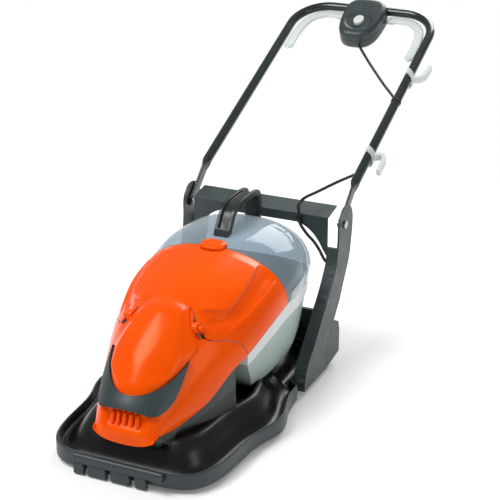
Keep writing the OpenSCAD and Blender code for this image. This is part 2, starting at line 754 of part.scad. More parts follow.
// Slanted edges keep the wall on the level with this share
slant_share = 1.4;
leg_steps = 20;
function leg_outline(s1, d) = let (n = leg_steps) concat(
    [for (i = [0:n]) let (s = lerp(d / leg_h, s1, i / n))
        [leg_front(s) + d * slant_share, leg_z + leg_h * s]],
    [for (i = [n:-1:0]) let (s = lerp(d / leg_h, s1, i / n))
        [leg_rear(s) - d * slant_share, leg_z + leg_h * s]]);
module pivot_bore(x0, x1, r) {
    translate([x0, pivot_y, pivot_z]) rotate([0, 90, 0]) cylinder(r = r, h = x1 - x0);
}
module leg() {
    color(dark_grey) difference() {
        union() {
            across(leg_x1 - leg_t, leg_x1) {
                polygon(leg_outline(1, 0));
                translate([cross_y + head_r, head_z]) circle(head_r);
            }
            across(leg_x0, leg_x1 - leg_t / 2) difference() {
                polygon(leg_outline(flange_top_share, 0));
                polygon(leg_outline(flange_top_share, leg_t));
            }
        }
        pivot_bore(leg_x1 - leg_t - over, leg_x1 + over, bolt_r + running);
    }
}
module right_leg() { leg(); }
module left_leg() { mirror([1, 0, 0]) leg(); }
nut_t = 4.7;
nut_r = 9;
tang_x1 = leg_x1 - leg_t - seat;
tang_x0 = tang_x1 - tang_t;
module leg_bolts() {
    color(steel) both_sides() {
        pivot_bore(tang_x0 - seat - nut_t, leg_x1 + seat, bolt_r);
        pivot_bore(leg_x1, leg_x1 + nut_t, nut_r);
        pivot_bore(tang_x0 - seat - nut_t, tang_x0 - seat, nut_r);
    }
}
// Crossbar between the legs: sloped top, front lip and arched gussets
cross_rise = 10;
cross_drop = 23;
cross_z = head_z + cross_drop;
gusset_w = 90;
gusset_h = 97;
gusset_shares = [[0, -0.2], [0.3, -0.26], [0.55, -0.4], [0.74, -0.6], [0.88, -0.82], [1, -1]];
module crossbar() {
    arch_line = curve([for (g = gusset_shares)
        [leg_x0 - gusset_w * (1 - g[0]), cross_z + gusset_h * g[1]]], 4);
    color(dark_grey) {
        across(-leg_x0, leg_x0) polygon([[cross_y, cross_z - lip_h], [cross_y, cross_z],
            [cross_y + cross_d, cross_z + cross_rise], [cross_y + cross_d, cross_z + cross_rise - leg_t],
            [cross_y + leg_t, cross_z - leg_t], [cross_y + leg_t, cross_z - lip_h]]);
        both_sides() translate([0, cross_y + leg_t, 0]) rotate([90, 0, 0]) linear_extrude(leg_t)
            polygon(concat(arch_line, [[leg_x0, cross_z - leg_t]]));
    }
}
// Rear wall of the deck with its skid, and the heels behind the legs
wall_y = hood_rear_y + seat;
rear_wall_t = 14;
rear_wall_z = 22;
rear_wall_share = 0.305;
skid_hw = 140;
heel_in = 4;
heel_top_share = 0.25;
heel_steps = 5;
// Shares of the wall's height at which the heel's rear edge turns
heel_shares = [0.97, 0.84, 0.66];
heel_crest_share = 0.4;
module rear_frame() {
    y1 = wall_y + rear_wall_t;
    top = rear_wall_z + leg_h * rear_wall_share;
    heel = concat(
        [
            for (k = [0:heel_steps])
                let (s = heel_top_share * k / heel_steps)
                [leg_rear(s) + 2 * seat, leg_z + leg_h * s]
        ],
        [[lerp(leg_rear(heel_top_share), y1, heel_crest_share), top * heel_shares[0]],
            [y1 - rear_wall_t / 2, top * heel_shares[1]], [y1, top * heel_shares[2]], [y1, rear_wall_z]]);
    color(dark_grey) {
        across(-leg_x0 - heel_in * 2, leg_x0 + heel_in * 2)
            polygon([[wall_y, rear_wall_z], [wall_y, top], [y1 - rear_wall_t / 3, top],
                [y1, top - rear_wall_t / 3], [y1, rear_wall_z]]);
        across(-skid_hw, skid_hw)
            polygon([[wall_y, 0], [wall_y, rear_wall_z + over], [y1, rear_wall_z + over],
                [y1, rear_wall_t / 2], [y1 - rear_wall_t / 2, 0]]);
        both_sides() across(leg_x0 + heel_in, leg_x1) polygon(heel);
    }
}

// Upper handle: a bent tube with flattened ends that turn on the bolts
handle_hw = (tang_x0 + tang_x1) / 2;
crimp_y = pivot_y + tang_l * cos(tang_slope);
crimp_z = pivot_z + tang_l * sin(tang_slope);
crimp_l = 24;
tang_hw = 13;
module on_handle() {
    translate([0, crimp_y, crimp_z]) rotate([handle_slope, 0, 0]) children();
}
function handle_pt(p) = [p[0], crimp_y + p[1] * cos(handle_slope) - p[2] * sin(handle_slope),
    crimp_z + p[1] * sin(handle_slope) + p[2] * cos(handle_slope)];
module rod(r, x, y0, y1) {
    translate([x, y0, 0]) rotate([-90, 0, 0]) cylinder(r = r, h = y1 - y0);
}
module bar(r, x0, x1) {
    translate([x0, 0, 0]) rotate([0, 90, 0]) cylinder(r = r, h = x1 - x0);
}
module tang() {
    translate([0, pivot_y, pivot_z]) rotate([tang_slope, 0, 0]) {
        bar(tang_hw, tang_x0, tang_x1);
        translate([tang_x0, 0, -tang_hw]) cube([tang_t, tang_l - crimp_l, 2 * tang_hw]);
    }
}
module crimp() {
    hull() {
        translate([0, pivot_y, pivot_z]) rotate([tang_slope, 0, 0])
            translate([tang_x0 + seat, tang_l - crimp_l - over, seat - tang_hw])
            cube([tang_t - 2 * seat, over / 2, 2 * tang_hw - 2 * seat]);
        on_handle() rod(tube_r - seat, handle_hw, 0, over, $fn = 32);
    }
}
module handle_tube() {
    straight = handle_l - bend_r;
    color(tube_black) difference() {
        union() {
            both_sides() {
                tang();
                crimp();
                on_handle() {
                    rod(tube_r, handle_hw, 0, straight);
                    translate([handle_hw - bend_r, straight, 0]) rotate_extrude(angle = 90)
                        translate([bend_r, 0]) circle(tube_r);
                }
            }
            on_handle() translate([0, handle_l, 0]) bar(tube_r, bend_r - handle_hw, handle_hw - bend_r);
        }
        both_sides() pivot_bore(tang_x0 - over, tang_x1 + over, bolt_r + running);
    }
}

// Switch box in two halves round the top bar, split on the handle's plane
box_above = 17;
box_u = handle_l + box_above - box_l / 2;
box_top_share = 0.3;
box_taper_share = 0.82;
box_narrow_share = 0.8;
box_sides = 40;
lever_set = 35;
lever_bar_r = 3.5;
lever_z = -9;
lever_u = handle_l - lever_set;
lock_set = 78;
lock_h = 10;
lock_proud = 2;
lock_travel = 4;
pocket_l = 44;
pocket_w = 36;
pocket_h = 16;
pocket_set = 96;
function box_outline() = [
    for (k = [0:box_sides - 1])
        let (a = 360 * k / box_sides)
        [box_hw * spow(cos(a), 0.62) * lerp(box_narrow_share, 1, (1 + spow(sin(a), 0.8)) / 2),
            box_l / 2 * spow(sin(a), 0.7)]
];
module half_box() {
    translate([0, box_u, 0]) linear_extrude(box_ht * (1 - box_top_share)) polygon(box_outline());
    translate([0, box_u, box_ht * (1 - box_top_share)])
        linear_extrude(box_ht * box_top_share, scale = box_taper_share) polygon(box_outline());
}
module bar_channel() {
    translate([0, handle_l, 0]) bar(tube_r + running, -box_hw - over, box_hw + over);
}
module switch_box_upper() {
    color(dark_grey) on_handle() difference() {
        half_box();
        bar_channel();
        translate([0, handle_l - lock_set, box_ht + lock_proud - lock_h - lock_travel - seat])
            cylinder(r = lock_r + seat, h = lock_h + lock_travel + over);
    }
}
module switch_box_lower() {
    color(dark_grey) on_handle() difference() {
        mirror([0, 0, 1]) half_box();
        bar_channel();
        translate([0, lever_u, lever_z]) bar(lever_bar_r + running, -box_hw - over, box_hw + over);
        translate([-pocket_w / 2, handle_l - pocket_set - pocket_l / 2, -pocket_h])
            cube([pocket_w, pocket_l, pocket_h + over]);
    }
}
module microswitch() {
    color(light_grey) on_handle()
        translate([-pocket_w / 2 + seat, handle_l - pocket_set - pocket_l / 2 + seat, -pocket_h + seat])
        cube([pocket_w - 2 * seat, pocket_l - 2 * seat, pocket_h - 2 * seat]);
}
inlet_r = 10;
inlet_l = 18;
module mains_inlet() {
    u = box_u + box_l / 2;
    color(tube_black) on_handle() translate([0, 0, -inlet_r]) rod(inlet_r, 0, u + seat, u + inlet_l);
}
module lock_button() {
    color(light_grey) on_handle() translate([0, handle_l - lock_set, box_ht + lock_proud - lock_h])
        cylinder(r = lock_r, h = lock_h);
}
// Lever outline: share of the handle's half width, share of the lever's length
lever_l = 170;
lever_shares = [[0.335, 0], [0.5, 0.02], [0.64, -0.03], [0.76, -0.22], [0.825, -0.5], [0.835, -0.82]];
module lever() {
    path = curve([for (p = lever_shares) [p[0] * handle_hw, lever_u + p[1] * lever_l]], 5);
    color(light_grey) on_handle() difference() {
        translate([0, 0, lever_z - lever_t / 2]) linear_extrude(lever_t)
            polygon(band(path, lever_w / 2, -lever_w / 2));
        translate([0, lever_u, lever_z]) bar(lever_bar_r + press, box_hw, box_hw + lever_w);
    }
}
module right_lever() { lever(); }
module left_lever() { mirror([1, 0, 0]) lever(); }
module lever_bar() {
    reach = box_hw + lever_w - over;
    color(steel) on_handle() translate([0, lever_u, lever_z]) bar(lever_bar_r, -reach, reach);
}

// Cable hooks, each with a half-round saddle on the right tube
clip_t = 3.5;
clip_w = 16;
hook_w = 9;
hook_t = 9;
// Share of the reach, place along the hook as a share of its reach
upper_hook_shares = [[0.3, 0], [0.6, 0.02], [0.84, 0.3], [0.9, 1.1]];
lower_hook_shares = [[0.3, 0], [0.65, 0.12], [0.88, -0.1], [0.9, -1.1]];
upper_hook_share = 0.6;
lower_hook_share = 0.14;
module hook(u, shares) {
    path = curve([for (p = shares) [handle_hw + p[0] * hook_reach, u + p[1] * hook_reach]], 4);
    color(light_grey) on_handle() {
        difference() {
            rod(tube_r + clip_t, handle_hw, u - clip_w / 2, u + clip_w / 2);
            rod(tube_r + running, handle_hw, u - clip_w / 2 - over, u + clip_w / 2 + over);
            translate([handle_hw - 2 * tube_r, u - clip_w, -2 * tube_r])
                cube([2 * tube_r, 2 * clip_w, 4 * tube_r]);
        }
        translate([0, 0, -hook_t / 2]) linear_extrude(hook_t) polygon(band(path, hook_w / 2, -hook_w / 2));
    }
}
module upper_hook() { hook(handle_l * upper_hook_share, upper_hook_shares); }
module lower_hook() { hook(handle_l * lower_hook_share, lower_hook_shares); }

// Cable from the switch box down to the deck; routes are hand-placed points
cable_sides = 6;
cable_steps = 2;
cable_run = handle_l + box_above - box_l;
// Along the handle: share of its half width, share of the run up to the switch box, place off its plane
handle_shares = [[0.086, 0.997], [0.214, 0.936], [0.412, 0.846],
    [0.686, 0.728], [0.884, 0.65], [0.986, 0.59],
    [1, 0.52], [1, 0.36], [1, 0.24], [0.996, 0.18], [0.991, 0.144]];
handle_drop = [10, 11, 12, 14, 16, 16.5, 16.5, 16.5, 18.5, 18.5, 18.5];
handle_route = [
    for (i = [0:len(handle_shares) - 1])
        handle_pt([handle_shares[i][0] * handle_hw, handle_shares[i][1] * cable_run, -handle_drop[i]])
];
// From the clip on the crossbar down the right leg to its foot: place in from the leg's inner face,
// place ahead of the crossbar, share of the leg's height
deck_rows = [[-68, -5, 1.105], [-68, -5, 1.08], [-68, -5, 1.054],
    [-68, -5, 1.029], [-61, -5, 0.984], [-47, -5, 0.93],
    [-31, -5, 0.883], [-17, -6, 0.829], [-9, -5, 0.781], [-4, 0, 0.743], [3, 7, 0.717], [10, 4, 0.676],
    [12, -15, 0.606], [12, -50, 0.486], [12, -88, 0.359], [12, -118, 0.232], [12, -126, 0.152],
    [12, -126, 0.105], [12, -126, 0.057]];
deck_route = [for (r = deck_rows) [leg_x0 + r[0], cross_y + r[1], leg_z + leg_h * r[2]]];
// Across the fold: shares of the way from the clip back to the end of the cable on the tube
fold_shares = [[0.99, 0.99, 0.97], [0.86, 0.81, 0.86], [0.6, 0.54, 0.76],
    [0.28, 0.28, 0.55], [0.09, 0.09, 0.45],
    [0, 0, 0.23], [0, 0, 0.02]];
fold_end = handle_route[len(handle_route) - 1];
fold_route = [for (r = fold_shares) [for (c = [0:2]) lerp(deck_route[0][c], fold_end[c], r[c])]];
tie_share = 0.57;
tie_u = cable_run * tie_share;
tie_w = 6;
tie_t = 1.5;
module cable_upper() {
    color(tube_black) cord(handle_route, cable_r, cable_sides, cable_steps);
}
module cable_middle() {
    color(tube_black) cord(fold_route, cable_r, cable_sides, cable_steps);
}
module cable_lower() {
    color(tube_black) cord(deck_route, cable_r, cable_sides, cable_steps);
}
module cable_tie() {
    color(tube_black) on_handle() difference() {
        rod(tube_r + tie_t, handle_hw, tie_u, tie_u + tie_w);
        rod(tube_r + running, handle_hw, tie_u - over, tie_u + tie_w + over);
    }
}
clip_block = 10;
clip_block_h = 9;
module cable_clip() {
    p = deck_route[2];
    color(tube_black) translate([p[0] - clip_block / 2, cross_y - clip_block, p[2] - clip_block_h / 2])
        difference() {
        cube([clip_block, clip_block, clip_block_h]);
        translate([clip_block / 2, p[1] - cross_y + clip_block, -over])
            cylinder(r = cable_r + seat, h = clip_block_h + 2 * over);
    }
}
gland_r = 7;
module cable_gland() {
    p = deck_route[len(deck_route) - 1];
    color(tube_black) translate([p[0], p[1], leg_z + leg_t + seat])
        cylinder(r = gland_r, h = p[2] - leg_z - leg_t - 2 * seat);
}

// Middle of the whole mower, fore and aft
front_end = bar_y - bar_t;
rear_end = handle_pt([0, box_u + box_l / 2 + inlet_l, 0])[1];
frame_y = (front_end + rear_end) / 2;
module placed() {
    translate([0, -frame_y, 0]) children();
}
placed() hood();
placed() front_bar();
placed() wear_blocks();
placed() rear_frame();
placed() left_leg();
placed() right_leg();
placed() crossbar();
placed() leg_bolts();
placed() shroud();
placed() dome_cover();
placed() trim_collar();
placed() nose_ribs();
placed() motor_housing();
placed() motor_plate();
placed() motor_can();
placed() stator();
placed() bearings();
placed() plate_screws();
placed() motor_shaft();
placed() armature();
placed() fan();
placed() blade();
placed() blade_spacer();
placed() blade_bolt();
placed() tub();
placed() tub_pegs();
placed() lid_shell();
placed() window();
placed() lid_knuckles();
placed() carry_handle();
placed() latch_button();
placed() handle_tube();
placed() switch_box_upper();
placed() switch_box_lower();
placed() microswitch();
placed() mains_inlet();
placed() lock_button();
placed() left_lever();
placed() right_lever();
placed() lever_bar();
placed() upper_hook();
placed() lower_hook();
placed() cable_tie();
placed() cable_upper();
placed() cable_middle();
placed() cable_clip();
placed() cable_lower();
placed() cable_gland();
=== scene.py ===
"""Visual model of an electric hover mower with a grass box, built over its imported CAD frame.

Lengths in the shape functions are the CAD model's millimetres; to_row() brings them to the row frame.
"""

import json
import math

import bmesh
import bpy
import numpy as np
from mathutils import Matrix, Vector

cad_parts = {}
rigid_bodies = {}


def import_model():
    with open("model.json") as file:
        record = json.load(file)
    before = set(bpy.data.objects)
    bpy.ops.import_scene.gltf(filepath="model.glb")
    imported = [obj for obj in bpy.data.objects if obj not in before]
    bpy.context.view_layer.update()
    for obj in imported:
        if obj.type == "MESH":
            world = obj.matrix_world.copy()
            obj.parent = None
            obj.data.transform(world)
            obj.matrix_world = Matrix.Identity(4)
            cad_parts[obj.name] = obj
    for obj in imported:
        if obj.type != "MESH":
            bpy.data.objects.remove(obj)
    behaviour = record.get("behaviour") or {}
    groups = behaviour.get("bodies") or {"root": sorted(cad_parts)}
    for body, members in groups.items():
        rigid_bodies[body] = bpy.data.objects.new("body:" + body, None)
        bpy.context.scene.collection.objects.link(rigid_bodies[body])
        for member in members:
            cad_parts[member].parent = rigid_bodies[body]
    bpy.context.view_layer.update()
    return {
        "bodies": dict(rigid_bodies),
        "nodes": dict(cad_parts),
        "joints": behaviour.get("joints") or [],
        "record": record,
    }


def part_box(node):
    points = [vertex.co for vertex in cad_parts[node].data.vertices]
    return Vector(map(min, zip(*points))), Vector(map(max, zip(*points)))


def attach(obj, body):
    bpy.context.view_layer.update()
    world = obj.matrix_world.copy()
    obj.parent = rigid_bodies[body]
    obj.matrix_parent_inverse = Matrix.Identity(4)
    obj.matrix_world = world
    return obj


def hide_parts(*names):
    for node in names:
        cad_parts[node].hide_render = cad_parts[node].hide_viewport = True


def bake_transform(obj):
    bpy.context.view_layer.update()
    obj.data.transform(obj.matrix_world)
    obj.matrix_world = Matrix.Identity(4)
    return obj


bl_info = {
    "name": "Hover Mower",
    "version": (1, 0, 0),
    "blender": (4, 5, 0),
    "location": "View3D > Sidebar > Mower",
    "description": "Builds the covers, handles, cables and finishes of a hover mower over its CAD frame",
    "category": "Object",
}

FRAME = {}
MM = 0.001

# Places that the CAD model fixes, in millimetres
NOSE = (-297.0, 76.0)
BODY = (172.0, 645.0, 274.0)
HOOD_Y = 20.0
MOTOR_Y = -130.0
HANDLE_FOOT = (463.63, 400.175)
HANDLE_SLOPE = 24.0
PIVOT = (381.5, 327.0)
TANG_SLOPE = 41.7
HANDLE_HALF = 186.7
HANDLE_TOP = 633.0
HANDLE_BEND = 88.0
HINGE = (80.01, -118.85, 263.89)
# Half of the gap at a seam, as a share of the body's stations
GAP = 0.002456
# Hood: half width and length, power of its plan, border's width, heights, wall
HOOD_HALF = (191.0, 332.0)
HOOD_POWER = 5.5
HOOD_BORDER = 85.0
HOOD_HIGH = 84.0
HOOD_LOW = 58.0
HOOD_GUTTER = 32.0
HOOD_WALL = 3.5
# Dome: station of its wings, reach of its nose, gap between the shroud and it or the collar
DOME_AT = -0.2
DOME_REACH = 0.35
DOME_SEAT = 0.8
# Latch: half of its angle, depth of its notch; the station where lid and window meet
LATCH_ANGLE = 9.0
LATCH_NOTCH = 0.05
WINDOW_AT = 0.5
# Switch box: place along the handle, half width and length, height, place of the button's well
BOX_AT = 575.0
BOX_HALF = (59.0, 75.0)
BOX_HIGH = 27.0
WELL_AT = HANDLE_TOP - 78.0 - BOX_AT
# Levers: place along the handle, length and place off the handle's plane
LEVER_AT = 602.0
LEVER_LENGTH = 170.0
LEVER_OFF = -7.0

# Camera fitted to the photograph, in the CAD model's millimetres; aim of the lights, in metres
CAMERA = (1231.5, -2384.6, 1468.0)
CAMERA_AIM = (72.95, 139.87, 334.51)
LENS = 102.04
SENSOR = 36.0
LIGHT_AIM = (0.0, -0.1, 0.3)
WHITE = (1.0, 1.0, 1.0, 1.0)

# Stations of the body: place, half width, side y and z, top y and z, roundness
BODY_ROWS = np.array([
    [-1, 0.384, 0.01, 0.077, 0, 0, 0.84],
    [-0.85, 0.424, 0.042, 0.078, 0, 0.106, 0.92],
    [-0.7, 0.488, 0.088, 0.084, 0.011, 0.234, 1],
    [-0.5, 0.599, 0.158, 0.128, 0.062, 0.372, 1.1],
    [-0.3, 0.698, 0.228, 0.193, 0.143, 0.569, 1.12],
    [-0.1, 0.812, 0.327, 0.339, 0.259, 0.759, 1.1],
    [0, 0.884, 0.394, 0.401, 0.335, 0.818, 1.08],
    [0.25, 0.97, 0.526, 0.526, 0.476, 0.912, 1],
    [0.5, 0.985, 0.653, 0.584, 0.633, 0.974, 0.92],
    [0.65, 0.985, 0.755, 0.599, 0.746, 1.012, 0.8],
    [0.8, 0.925, 0.84, 0.606, 0.894, 1.007, 0.8],
    [0.9, 0.861, 0.896, 0.609, 0.962, 0.935, 0.87],
    [0.96, 0.824, 0.926, 0.611, 0.994, 0.807, 0.91],
    [1, 0.767, 0.947, 0.613, 1, 0.599, 0.93],
])
# Section of the hood's border: share of its width, share of the rise from gutter to plateau
BORDER_ROWS = np.array([
    [0.1, -0.12], [0.24, -0.11], [0.34, 0.04], [0.44, 0.3], [0.54, 0.58], [0.71, 0.88], [1, 1],
])
# Section of the hood's rim: depth in from the outside and height; the first RIM_GREY rings are grey
RIM_ROWS = [
    (0, 10), (0, 12), (0, 40), (0.4, 42.2), (1.4, 43.6), (2.6, 44), (3.8, 43.7), (4.9, 42.4), (5.8, 39),
    (6.5, 34), (7.2, 30),
]
RIM_GREY = 8
# Section of the grass box and of its band: share of height, half width, front and rear setback
TUB_ROWS = np.array([
    [0, 0.7, 0.27, 0.14],
    [0.05, 0.77, 0.22, 0.1],
    [0.3, 0.88, 0.14, 0.055],
    [0.6, 0.94, 0.065, 0.02],
    [0.8, 0.965, 0.02, 0.008],
])
BAND_ROWS = [
    (0.806, 0.985, 0.01, 0.004), (0.815, 0.997, 0.002, 0.001), (0.825, 1, 0, 0), (0.9, 1, 0, 0),
    (1, 1, 0, 0),
]
# Section of a hinge boss: depth inward and radius
BOSS_ROWS = [(13, 9.2), (12.9, 10), (12.2, 10.8), (11.2, 11), (2, 11), (1, 10.8), (0.3, 10), (0.2, 9.2)]
# Rounded side of the switch box: share of its plan and height
BOX_ROWS = [
    (1, 0.4), (1, 13), (0.996, 16.5), (0.978, 20.2), (0.945, 23.4), (0.9, 25.6), (0.86, 26.6), (0.82, 27),
]
# Creases of the lid: station, then the angles from the side of the upper and the lower crease
CREASE_ROWS = np.array([
    [-0.11, 75, 37.2], [-0.03, 62, 35.7], [0, 57, 35], [0.03, 50.5, 34.4], [0.07, 45.3, 33.5],
    [0.14, 44.2, 32], [0.25, 45.2, 31], [0.38, 47.5, 31], [0.5, 51, 32],
])
# Levers: share of the handle's half width, share of the lever's length
LEVER_SHARES = [(0.32, 0.02), (0.5, 0.04), (0.65, 0.01), (0.805, -0.16), (0.863, -0.46), (0.866, -0.88)]
# Routes of the cable, the CAD model's own points
UPPER_ROUTE = [
    (16.056, 923.1, 593.798), (39.954, 895.644, 580.479), (76.92, 854.941, 561.262),
    (128.076, 801.855, 535.438), (165.043, 767.04, 517.748), (184.086, 739.837, 505.089),
    (186.7, 707.863, 490.853), (186.7, 634.78, 458.314), (186.7, 580.78, 432.083),
    (185.953, 553.374, 419.881), (185.02, 536.93, 412.56),
]
FOLD_ROUTE = [
    UPPER_ROUTE[-1], (172.837, 500.463, 405.212), (150.212, 448.642, 399.963),
    (122.366, 398.74, 388.942), (105.832, 362.274, 383.693), (98, 345, 372.147), (98, 345, 360.075),
]
DECK_ROUTE = [
    FOLD_ROUTE[-1], (98, 345, 352.2), (98, 345, 344.01), (98, 345, 336.135),
    (105, 345, 321.96), (119, 345, 304.95), (135, 345, 290.145), (149, 344, 273.135),
    (157, 345, 258.015), (162, 350, 246.045), (169, 357, 237.855), (176, 354, 224.94),
    (178, 335, 202.89), (178, 300, 165.09), (178, 262, 125.085), (178, 232, 85.08),
    (178, 224, 59.88), (178, 224, 45.075), (178, 224, 29.955),
]


def number(name, text, value, **kind):
    return bpy.props.FloatProperty(name=name, description=text, default=value, **kind)


class MowerShape(bpy.types.PropertyGroup):
    """Sizes that the visual model adds to the CAD model."""

    shell: number("Shell", "Wall of the moulded covers", 0.0026, unit="LENGTH")
    edge: number("Edge radius", "Rounding of the covers' edges", 0.0011, unit="LENGTH")
    dome_lift: number("Dome lift", "How far the front dome stands off the shroud", 0.0075, unit="LENGTH")
    ridge: number("Creases", "Height of the creases along each shoulder of the lid", 0.006, unit="LENGTH")
    tube: number("Tube radius", "Radius of the upper handle's tube", 0.011, unit="LENGTH")
    cable: number("Cable radius", "Radius of the switch cable", 0.0035, unit="LENGTH")
    mould_edge: number("Moulding radius", "Rounding of legs, crossbar and frame", 0.0022, unit="LENGTH")


class MowerFinish(bpy.types.PropertyGroup):
    """Finish and light of the scene."""

    cover_roughness: number("Cover roughness", "Roughness of the orange covers", 0.19, subtype="FACTOR")
    hood_roughness: number("Hood roughness", "Roughness of the black hood", 0.3, subtype="FACTOR")
    grain: number("Grain depth", "Depth of the moulded grain", 0.00012, unit="LENGTH", precision=6)
    key: number("Key light", "Power of the large softbox", 94.0, unit="POWER")
    fill: number("Fill light", "Power that the other softboxes scale", 18.0, unit="POWER")
    sky: number("Room light", "Strength of the even light from all round", 0.27)


# Blends and splines

def lerp(a, b, v):
    return a + (b - a) * v


def ease(v):
    c = np.clip(v, 0, 1)
    return c * c * (3 - 2 * c)


def bell(v):
    return np.exp(-np.square(v))


def spow(v, p):
    return np.sign(v) * np.abs(v) ** p


def row_at(rows, s):
    """Rows of a table at the places s, by cubic pieces through its rows."""
    x = rows[:, 0]
    s = np.asarray(s, float)
    i = np.clip(np.searchsorted(x, s, side="right") - 1, 0, len(x) - 2)
    k = np.arange(len(x))
    a, b = np.maximum(k - 1, 0), np.minimum(k + 1, len(x) - 1)
    slope = (rows[b] - rows[a]) / (x[b] - x[a])[:, None]
    h = (x[i + 1] - x[i])[..., None]
    v = (s[..., None] - x[i][..., None]) / h
    return (rows[i] * (2 * v**3 - 3 * v**2 + 1) + slope[i] * h * (v**3 - 2 * v**2 + v)
            + rows[i + 1] * (3 * v**2 - 2 * v**3) + slope[i + 1] * h * (v**3 - v**2))


def curve(points, steps):
    """A smooth line through points, with steps pieces between two of them."""
    points = np.asarray(points, float)
    rows = np.column_stack([np.arange(len(points)), points])
    return row_at(rows, np.linspace(0, len(points) - 1, (len(points) - 1) * steps + 1))[:, 1:]


def unit(v):
    return v / np.linalg.norm(v, axis=-1, keepdims=True)


def around(n):
    """Angles of n even steps round a circle."""
    return np.radians(np.arange(n) * 360 / n)


def cos_sin(angle):
    return math.cos(math.radians(angle)), math.sin(math.radians(angle))


# The body's surface

def body_pt(s, t):
    """The body's surface at the station s and the angle t, from the right side over the top."""
    s, t = np.broadcast_arrays(np.asarray(s, float), np.asarray(t, float))
    r = row_at(BODY_ROWS, s)
    c = spow(np.cos(np.radians(t)), r[..., 6])
    h = np.abs(np.sin(np.radians(t))) ** r[..., 6]
    return np.stack([BODY[0] * r[..., 1] * c,
                     NOSE[0] + BODY[1] * lerp(r[..., 2], r[..., 4], h),
                     NOSE[1] + BODY[2] * lerp(r[..., 3], r[..., 5], h)], -1)


def body_off(s, t, d):
    """The body's surface moved d along its normal."""
    along = body_pt(np.minimum(s + 0.004, 1), t) - body_pt(np.maximum(s - 0.004, -1), t)
    over = body_pt(s, np.minimum(t + 0.5, 180)) - body_pt(s, np.maximum(t - 0.5, 0))
    d = np.broadcast_to(np.asarray(d, float), np.shape(s))
    return body_pt(s, t) + d[..., None] * unit(np.cross(along, over))


def across_angle(v):
    """Angles for even shares of the way over, closer near the top."""
    return 90 * (1 - spow(1 - 2 * v, 1.3))


def from_side(t):
    """Angle from the nearer side."""
    return 90 - np.abs(t - 90)


def pocket(t, deep, middle, half):
    """Recess in an edge at the lid's hinge, as a share of the station."""
    return deep * bell(((from_side(t) - middle) / half) ** 3)


def seam(t):
    """Station of the seam between shroud and lid."""
    return -0.11 * bell((from_side(t) - 46) / 19)


def notch(t):
    """Depth of the latch's notch in the edges of lid and window, as a share of the station."""
    return LATCH_NOTCH * np.sqrt(np.maximum(1 - ((t - 90) / LATCH_ANGLE) ** 2, 0))


def scoop(s, t):
    """Depth of the shelf under the collar, behind the nose ribs."""
    return 15 * ease((s + 0.872) / 0.11) * ease((-0.6 - s) / 0.12) * bell(((t - 90) / 34) ** 3)


def creases(s, side):
    """Relief of the lid: a panel on top down to a crease, then a valley and a lower crease."""
    rows = row_at(CREASE_ROWS, s)
    over, under = side - rows[..., 1], rows[..., 2] - side
    valley = bell((side - lerp(rows[..., 1], rows[..., 2], 0.55)) / 5)
    panel, flank = ease(over / 2.2) * bell(over / 16), ease(under / 2) * bell(under / 12)
    return 0.9 * panel - 0.6 * valley + 0.4 * flank


def grid(nu, nv):
    """Shares u and v over a patch of nu by nv cells."""
    return np.meshgrid(np.linspace(0, 1, nu + 1), np.linspace(0, 1, nv + 1), indexing="ij")


# The hood's plan and section

def hood_extra(y):
    """Bulge of the plan beside the motor and waist behind it."""
    return 26 * bell((y + 12) / 68) - 25.3 * ease((y - 126) / 26)


def hood_plan(a, d):
    """Place in plan at the angle a, d in from the rim."""
    c, s = np.cos(np.radians(a)), np.sin(np.radians(a))
    across, along = np.abs(c) / (HOOD_HALF[0] - d), np.abs(s) / (HOOD_HALF[1] - d)
    r = (across ** HOOD_POWER + along ** HOOD_POWER) ** (-1 / HOOD_POWER)
    y = HOOD_Y + r * s
    return np.stack([r * c * (1 + hood_extra(y) / HOOD_HALF[0]), y], -1)


def hood_top(y):
    """Height of the plateau, which falls from the motor to the grass box."""
    return lerp(HOOD_HIGH, HOOD_LOW, ease((y + 80) / 110))


def border_z(y, share):
    """Height of the border, whose shoulder stays up beside the grass box and falls inward."""
    shoulder = lerp(HOOD_HIGH, HOOD_LOW, ease((y - 50) / 60))
    top = lerp(hood_top(y), shoulder, ease((0.96 - share) / 0.24))
    return lerp(HOOD_GUTTER, top, row_at(BORDER_ROWS, np.broadcast_to(share, np.shape(y)))[..., 1])


def hood_border(a, share, drop=0.0):
    q = hood_plan(a, HOOD_BORDER * share)
    return np.column_stack([q, border_z(q[..., 1], share) - drop])


def hood_height(x, y):
    """Height of the hood's top at places in plan, by trying depths in from the rim."""
    tries = 340
    x = x / (1 + hood_extra(y) / HOOD_HALF[0])
    depth = np.linspace(0, HOOD_BORDER, tries + 1)[:, None]
    across, along = np.abs(x) / (HOOD_HALF[0] - depth), np.abs(y - HOOD_Y) / (HOOD_HALF[1] - depth)
    inside = across ** HOOD_POWER + along ** HOOD_POWER <= 1
    share = np.clip((inside.sum(0) - 1) / tries, BORDER_ROWS[0, 0], 1)
    return border_z(y, share)


def hood_plateau(a, v, drop=0.0):
    """Ring of the plateau, from the border at v 0 to the motor's hole at v 1."""
    hole = 45
    q = hood_plan(a, HOOD_BORDER)
    centre = np.array([0, MOTOR_Y])
    m = lerp(q, centre + hole * unit(q - centre), v)
    return np.column_stack([m, hood_top(m[..., 1]) - drop])


def hood_rim(a, d, z):
    return np.column_stack([hood_plan(a, d), np.full(len(a), z)])


def on_handle(p):
    """Points given across, along and off the upper handle's plane."""
    p = np.asarray(p, float)
    c, s = cos_sin(HANDLE_SLOPE)
    return np.stack([p[..., 0], HANDLE_FOOT[0] + p[..., 1] * c - p[..., 2] * s,
                     HANDLE_FOOT[1] + p[..., 1] * s + p[..., 2] * c], -1)


# Meshes

def to_row(points):
    """Millimetres of the CAD model to metres of the row frame."""
    p = np.array(points, float).reshape(-1, 3)
    return (p - (0.0, FRAME["shift"], 0.0)) * MM


